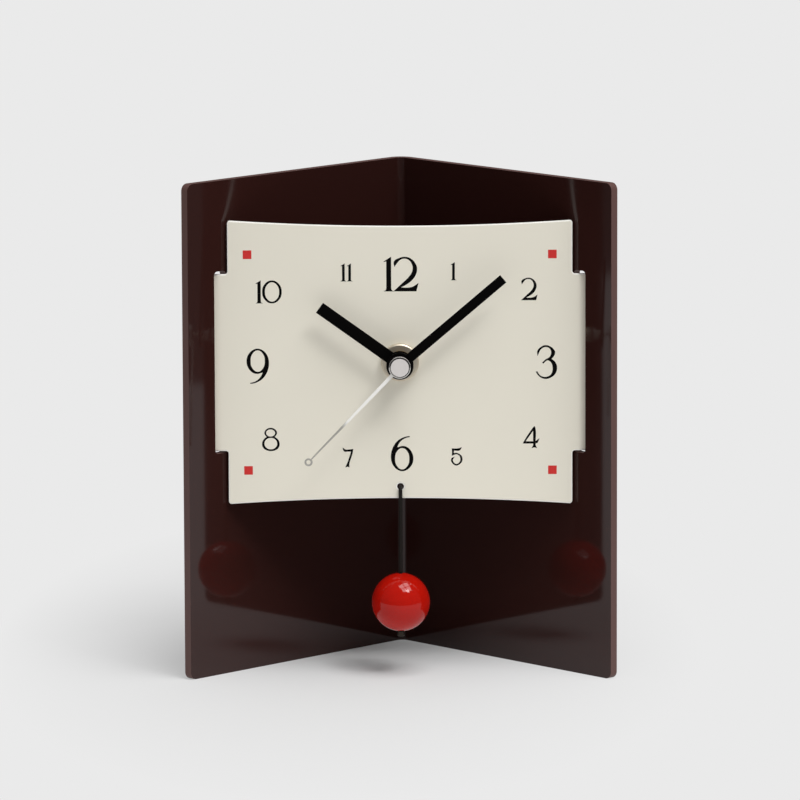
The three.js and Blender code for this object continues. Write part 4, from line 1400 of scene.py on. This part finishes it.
@dataclass
class Hands(Assembly):
    """The two bar hands, the second hand and the cap over the shafts."""

    hub_radius: float = 4.7 * MM
    hour: BarHand = BarHand(34.1 * MM, 4.2 * MM, 305.7, 2.5 * MM)
    minute: BarHand = BarHand(46.9 * MM, 3.3 * MM, 49.6, 1.5 * MM)
    second_length: float = 45.8 * MM
    second_angle: float = 223.7
    second_root: float = 1.3 * MM
    second_tip: float = 0.45 * MM
    second_hub: float = 2.6 * MM
    second_hub_steps: int = 48
    second_ring: float = 1.4 * MM
    second_ring_bore: float = 0.75 * MM
    second_bore: float = 0.5 * MM
    edge_radius: float = 0.1 * MM
    fit: float = 0.15 * MM
    cap_rim_width: float = 0.32 * MM
    cap_rim_drop: float = 0.12 * MM
    cap_groove_width: float = 0.28 * MM
    cap_groove_depth: float = 0.2 * MM
    cap_socket: float = 0.7 * MM

    def bar(self, hand: BarHand) -> List[Point]:
        """Draws a bar hand that points up from its round hub.

        Args:
            hand: The hand.

        Returns:
            Its outline.
        """
        half = hand.width / 2
        meet = math.asin(half / self.hub_radius)
        start, end = QUARTER + meet, QUARTER - meet + WHOLE
        hub = arc((0.0, 0.0), self.hub_radius, start, end, ROUND_STEPS)
        return hub + [(half, hand.length), (-half, hand.length)]

    def needle(self) -> List[Point]:
        """Draws the second hand: hub, tapered needle and end ring.

        Returns:
            Its outline.
        """
        meet = math.asin(self.second_root / 2 / self.second_hub)
        start, end = QUARTER + meet, QUARTER - meet + WHOLE
        hub = arc((0.0, 0.0), self.second_hub, start, end, self.second_hub_steps)
        leave = math.asin(self.second_tip / 2 / self.second_ring)
        start, end = leave - QUARTER, WHOLE - leave - QUARTER
        rim = arc((0.0, self.second_length), self.second_ring, start, end, SMALL_ROUND_STEPS)
        return hub + rim

    def cap(self) -> bpy.types.Mesh:
        """The cap, with a bevelled rim and a groove inside it whose floor is painted black as
        painted shade.

        Returns:
            Its mesh.
        """
        box = Box("second_hand_cap")
        depth, radius = box.size.y, box.size.x / 2
        groove_out = radius - self.cap_rim_width
        groove_in = groove_out - self.cap_groove_width
        floor = depth - self.cap_groove_depth
        bore = self.second_bore + self.fit
        profile = [
            (0.0, bore), (0.0, radius), (depth - self.cap_rim_drop, radius), (depth, groove_out),
            (floor, groove_out), (floor, groove_in), (depth, groove_in), (depth, 0.0),
            (self.cap_socket, 0.0), (self.cap_socket, bore),
        ]
        mesh = turned_on_shaft("hand_cap", profile, box, FINE_RING_STEPS)
        # The groove's floor is painted black as painted shade; the rim's bevel gets the bright
        # metal.
        for face in mesh.polygons:
            out = math.hypot(face.center.x, face.center.z - SHAFT_HEIGHT)
            if face.normal.y < 0 and groove_in < out < radius:
                face.material_index = 2 if out < groove_out else 1
        return mesh

    def build(self) -> None:
        """Builds and dresses the hands and the cap."""
        for body, hand in ((Body.HOUR, self.hour), (Body.MINUTE, self.minute)):
            node, name = f"{body.value}_hand", f"{body.value}_bar"
            box = Box(node)
            loops = [self.bar(hand), ring((0.0, 0.0), hand.bore + self.fit)]
            lie = facing(box.centre.y, hand.angle)
            mesh = cut_plate(name, loops, box.size.y, self.edge_radius, lie)
            self.keep_flats(self.place(mesh, body, BLACK_PAINT, node))
        box = Box("second_hand")
        bore = ring((0.0, 0.0), self.second_bore + self.fit, SMALL_ROUND_STEPS)
        eye = ring((0.0, self.second_length), self.second_ring_bore, SMALL_ROUND_STEPS)
        lie = facing(box.centre.y, self.second_angle)
        loops = [self.needle(), bore, eye]
        mesh = cut_plate("second_needle", loops, box.size.y, self.edge_radius, lie)
        self.keep_flats(self.place(mesh, Body.SECOND, WHITE_NEEDLE, "second_hand"))
        piece = self.place(self.cap(), Body.SECOND, SATIN_CAP, "second_hand_cap")
        piece.data.materials.append(BRIGHT_RIM.material())
        # Black paint in the cap's groove: painted shade.
        piece.data.materials.append(BLACK_PAINT.material())


@dataclass
class Pendulum(Assembly):
    """The hooked wire, the ball and the nut under it."""

    bend_radius: float = 1.2 * MM
    bend_steps: int = 8
    hook_length: float = 5 * MM
    wire_round_steps: int = 6
    wire_shading_angle: float = 60.0
    ball_bore: float = 0.85 * MM
    bore_rim: float = 0.25 * MM
    ball_steps: int = 64
    nut_edge: float = 0.4 * MM
    nut_steps: int = 48

    def wire(self) -> bpy.types.Mesh:
        """The wire: up in front of the dial, through its hole and down behind it.

        Returns:
            Its mesh.
        """
        box = Box("pendulum_wire")
        radius = box.size.x / 2
        front, back = box.low.y + radius, box.high.y - radius
        top = box.high.z - radius
        bend = self.bend_radius
        route = [(front, box.low.z)]
        route += arc((front + bend, top - bend), bend, HALF, QUARTER, self.bend_steps)
        route += arc((back - bend, top - bend), bend, QUARTER, 0.0, self.bend_steps)
        route.append((back, top - self.hook_length))
        curve = new_curve("hooked_wire", "3D")
        curve.bevel_depth = radius
        curve.bevel_resolution = self.wire_round_steps
        curve.use_fill_caps = True
        add_run(curve, [(0.0, y, z) for y, z in route], closed=False)
        return mesh_of_curve(curve, Matrix.Identity(4), self.wire_shading_angle)

    def ball(self) -> bpy.types.Mesh:
        """The ball, with a bore for the wire and a softened rim at each end of it.

        Returns:
            Its mesh.
        """
        box = Box("pendulum_ball")
        radius = box.size.x / 2
        mouth = self.ball_bore + self.bore_rim
        edge = math.acos(mouth / radius)
        outside = arc((0.0, 0.0), radius, -edge, edge, self.ball_steps)
        pole = radius * math.sin(edge)
        profile = [(z, out) for out, z in outside]
        profile += [(pole - self.bore_rim, self.ball_bore), (self.bore_rim - pole, self.ball_bore)]
        return turned("gloss_ball", profile, box.centre, UP, 2 * self.ball_steps)

    def end_nut(self) -> bpy.types.Mesh:
        """The small nut under the ball, round at its lower edge.

        Returns:
            Its mesh.
        """
        box = Box("pendulum_end_nut")
        radius, height, edge = box.size.y / 2, box.size.z, self.nut_edge
        lower_edge = arc((radius - edge, edge), edge, -QUARTER, 0.0, CORNER_STEPS)
        profile = [(0.0, 0.0)] + [(along, out) for out, along in lower_edge]
        profile += [(height, radius), (height, 0.0)]
        foot = Vector((box.centre.x, box.centre.y, box.low.z))
        return turned("keeper_nut", profile, foot, UP, self.nut_steps)

    def build(self) -> None:
        """Builds and dresses the pendulum."""
        self.place(self.wire(), Body.PENDULUM, BLACK_WIRE, "pendulum_wire")
        self.place(self.ball(), Body.PENDULUM, RED_LACQUER, "pendulum_ball")
        self.place(self.end_nut(), Body.PENDULUM, DARK_NUT, "pendulum_end_nut")


@dataclass
class Movement(Assembly):
    """The quartz movement behind the dial."""

    case_edge: float = 0.4 * MM
    knob_edge: float = 0.15 * MM
    nub_radius: float = 2.75 * MM
    nub_length: float = 1.2 * MM
    sleeve_edge: float = 0.8 * MM
    sleeve_depth: float = 0.15 * MM
    sleeve_steps: int = 6
    terminal_rim: float = 1.6 * MM

    def battery(self) -> None:
        """Builds and dresses the cell: a steel can with a raised nub, in a plain sleeve."""
        box = Box("battery_cell")
        radius, length = box.size.z / 2, box.size.x
        body_length = length - self.nub_length
        edge, skin = self.sleeve_edge, self.sleeve_depth
        start = Vector((box.low.x, box.centre.y, box.centre.z))
        along = Vector((1, 0, 0))
        rim = radius - self.terminal_rim
        inner = rim - skin
        sleeve = [(0.0, rim)]
        sleeve += arc((edge, radius - edge), edge, HALF, QUARTER, self.sleeve_steps)
        sleeve += arc((body_length - edge, radius - edge), edge, QUARTER, 0.0, self.sleeve_steps)
        sleeve += [(body_length, rim), (body_length - skin, inner), (skin, inner)]
        mesh = turned("cell_sleeve", sleeve, start, along)
        self.place(mesh, Body.STAND, BATTERY_SLEEVE, "battery_cell")
        can = [
            (skin, 0.0), (skin, inner), (body_length - skin, inner),
            (body_length - skin, self.nub_radius), (length - skin, self.nub_radius),
            (length, self.nub_radius - skin), (length, 0.0),
        ]
        self.place(turned("cell_can", can, start, along), Body.STAND, NICKEL_PLATE)

    def build(self) -> None:
        """Builds and dresses the case and what shows of the movement, and dresses what it hides."""
        self.refined("front_case", "case_front", Body.STAND, BLACK_CASE, self.case_edge)
        self.refined("rear_case", "case_back", Body.STAND, BLACK_CASE, self.case_edge)
        self.refined("setting_knob", "time_knob", Body.SETTING, BLACK_CASE, self.knob_edge)
        self.battery()
        kept = {
            PALE_PLASTIC: (
                "train_plate", "second_wheel", "third_wheel", "minute_wheel", "minute_work_wheel",
                "hour_wheel", "intermediate_wheel", "rotor_arbor", "setting_arbor",
            ),
            SINTERED_MAGNET: ("rotor_magnet",),
            STAMPED_IRON: ("stator_plate", "coil_core"),
            BOBBIN_PLASTIC: ("coil_bobbin",),
            COPPER_WIRE: ("coil_winding",),
            GREEN_BOARD: ("circuit_board",),
            BLACK_RESIN: ("control_chip",),
            DRAWN_CAN: ("quartz_crystal",),
            NICKEL_PLATE: ("positive_contact", "negative_contact"),
        }
        for finish, nodes in kept.items():
            for node in nodes:
                self.dress(node, finish)


@dataclass
class Studio:
    """The table, the light and the camera, in metres, degrees and watts."""

    camera_place: Place = (20.24 * MM, -2504.61 * MM, 501.47 * MM)
    camera_aim: Place = (-0.279 * MM, 0.757 * MM, 92.41 * MM)
    camera_roll: float = 0.2079
    lens: float = 326.18
    sensor: float = 36.0
    view_reach: float = 20.0
    floor_front: float = -0.30
    floor_back: float = 3.0
    floor_left: float = -0.9
    floor_right: float = 0.575
    ground_reach: float = 5.0
    ground_back: float = 12.0
    ground_height: float = -0.75
    floor_colour: str = "D8D8D8"
    bounce_colour: str = "F0F0F0"
    backdrop_colour: str = "EAEAEA"
    paper_grain: float = 1.5 * MM
    paper_unevenness: float = 0.01
    paper_roughness: float = 0.8
    shadow_start: float = 0.01
    shadow_reach: float = 0.265
    shadow_narrowing: float = 2.1
    shadow_middle: Point = (-0.02, 0.03)
    key_direction: Place = (0.27, -0.32, 0.91)
    key_distance: float = 2.5
    key_size: float = 1.6
    key_gap: float = 0.1
    key_power: float = 48.0
    core_direction: Place = (0.43, -0.50, 0.75)
    core_distance: float = 2.4
    core_size: float = 0.5
    core_power: float = 12.0
    room: float = 0.34
    dark_room: float = 0.13

    def paper(self) -> bpy.types.Material:
        """The sheet's material, which takes the clock's shadow and is evenly lit farther away.

        Returns:
            The material.
        """
        material = bpy.data.materials.new("pale_paper")
        shader = Shader(material)
        place = shader.place()
        grain = shader.noise(place, self.paper_grain)
        table = shader.uneven(grain, self.floor_colour, self.paper_unevenness)
        shown = shader.shown()
        paper = shader.surface({
            "Base Color": shader.mix(shown, tint(self.bounce_colour), table),
            "Roughness": self.paper_roughness,
        })
        backdrop = {"Color": tint(self.backdrop_colour), "Strength": 1.0}
        glow = shader.node("ShaderNodeEmission", {}, backdrop)
        x, y, z = shader.axes(place)
        across = (x - self.shadow_middle[0]) * self.shadow_narrowing
        back = y - self.shadow_middle[1]
        distance = (across * across + back * back + z * z) ** 0.5
        fade = {"From Min": self.shadow_start, "From Max": self.shadow_reach}
        share = shader.node("ShaderNodeMapRange", {}, {"Value": distance, **fade})
        mixed = shader.node("ShaderNodeMixShader", {}, {0: share * shown, 1: paper, 2: glow})
        shader.settle("Material Output", {"Surface": mixed})
        return material

    def floor(self) -> None:
        """A pale sheet under the clock, and the pale ground that the table stands on."""
        reach = self.ground_reach
        sheets = {
            "paper_floor": (
                self.floor_left, self.floor_right, self.floor_front, self.floor_back, 0.0,
            ),
            "paper_ground": (-reach, reach, -reach, self.ground_back, self.ground_height),
        }
        paper = self.paper()
        for name, (left, right, front, back, height) in sheets.items():
            corners = [(x, y, height) for x, y in rectangle(left, right, front, back)]
            mesh = bpy.data.meshes.new(name)
            mesh.from_pydata(corners, [], [(0, 1, 2, 3)])
            mesh.materials.append(paper)
            sheet = linked(name, mesh)

    def lamp(
        self,
        name: str,
        toward: Vector,
        distance: float,
        size: float,
        power: float,
        shift: Point = (0.0, 0.0),
    ) -> None:
        """A square area lamp that faces the clock.

        Args:
            name: Name of the lamp.
            toward: Direction from the clock to it.
            distance: How far away it stands.
            size: Side of the square.
            power: Its power.
            shift: How far it is moved in its own plane.
        """
        data = bpy.data.lights.new(name, "AREA")
        data.shape = "SQUARE"
        data.size = size
        data.energy = power
        centre = toward * distance + SHAFT_HEIGHT * UP
        turn = toward.to_track_quat("Z", "Y").to_matrix().to_4x4()
        shifted = Matrix.Translation((*shift, 0))
        linked(name, data).matrix_world = Matrix.Translation(centre) @ turn @ shifted

    def lights(self) -> None:
        """A large softbox of four panes, upper right in front, its bright core and a dim room."""
        toward = Vector(self.key_direction).normalized()
        pane = (self.key_size - self.key_gap) / 2
        step = (pane + self.key_gap) / 2
        shifts = [(column, row) for column in (-step, step) for row in (-step, step)]
        power = self.key_power / len(shifts)
        for shift in shifts:
            self.lamp("softbox_pane", toward, self.key_distance, pane, power, shift)
        core = Vector(self.core_direction).normalized()
        self.lamp("softbox_core", core, self.core_distance, self.core_size, self.core_power)
        world = bpy.data.worlds.new("dim_room")
        shader = Shader(world)
        white = tint("FFFFFF")
        light = shader.node("ShaderNodeBackground", {}, {"Color": white, "Strength": self.room})
        look = shader.node("ShaderNodeBackground", {}, {"Color": white, "Strength": self.dark_room})
        mixed = shader.node("ShaderNodeMixShader", {}, {0: shader.shown(), 1: light, 2: look})
        shader.settle("World Output", {"Surface": mixed})
        bpy.context.scene.world = world

    def camera(self) -> None:
        """The camera at the viewer's place, with a long lens."""
        forward = (Vector(self.camera_aim) - Vector(self.camera_place)).normalized()
        level = forward.cross(UP).normalized()
        upright = level.cross(forward)
        roll = math.radians(self.camera_roll)
        right = math.cos(roll) * level - math.sin(roll) * upright
        up = math.sin(roll) * level + math.cos(roll) * upright
        data = bpy.data.cameras.new("viewer")
        data.lens = self.lens
        data.sensor_width = self.sensor
        data.sensor_fit = "HORIZONTAL"
        data.clip_end = self.view_reach
        turn = Matrix((right, up, -forward)).transposed().to_4x4()
        holder = linked("viewer", data)
        holder.matrix_world = Matrix.Translation(self.camera_place) @ turn
        bpy.context.scene.camera = holder

    def build(self) -> None:
        """Sets up the studio."""
        self.camera()
        self.floor()
        self.lights()
        bpy.context.scene.view_settings.view_transform = "Standard"


def main() -> None:
    """Builds the studio and the clock's sub-assemblies in order."""
    logging.basicConfig(level=logging.INFO, format="%(name)s: %(message)s")
    for part in (Studio(), Stand(), Dial(), Clamp(), Hands(), Pendulum(), Movement()):
        part.build()


if __name__ == "__main__":
    main()
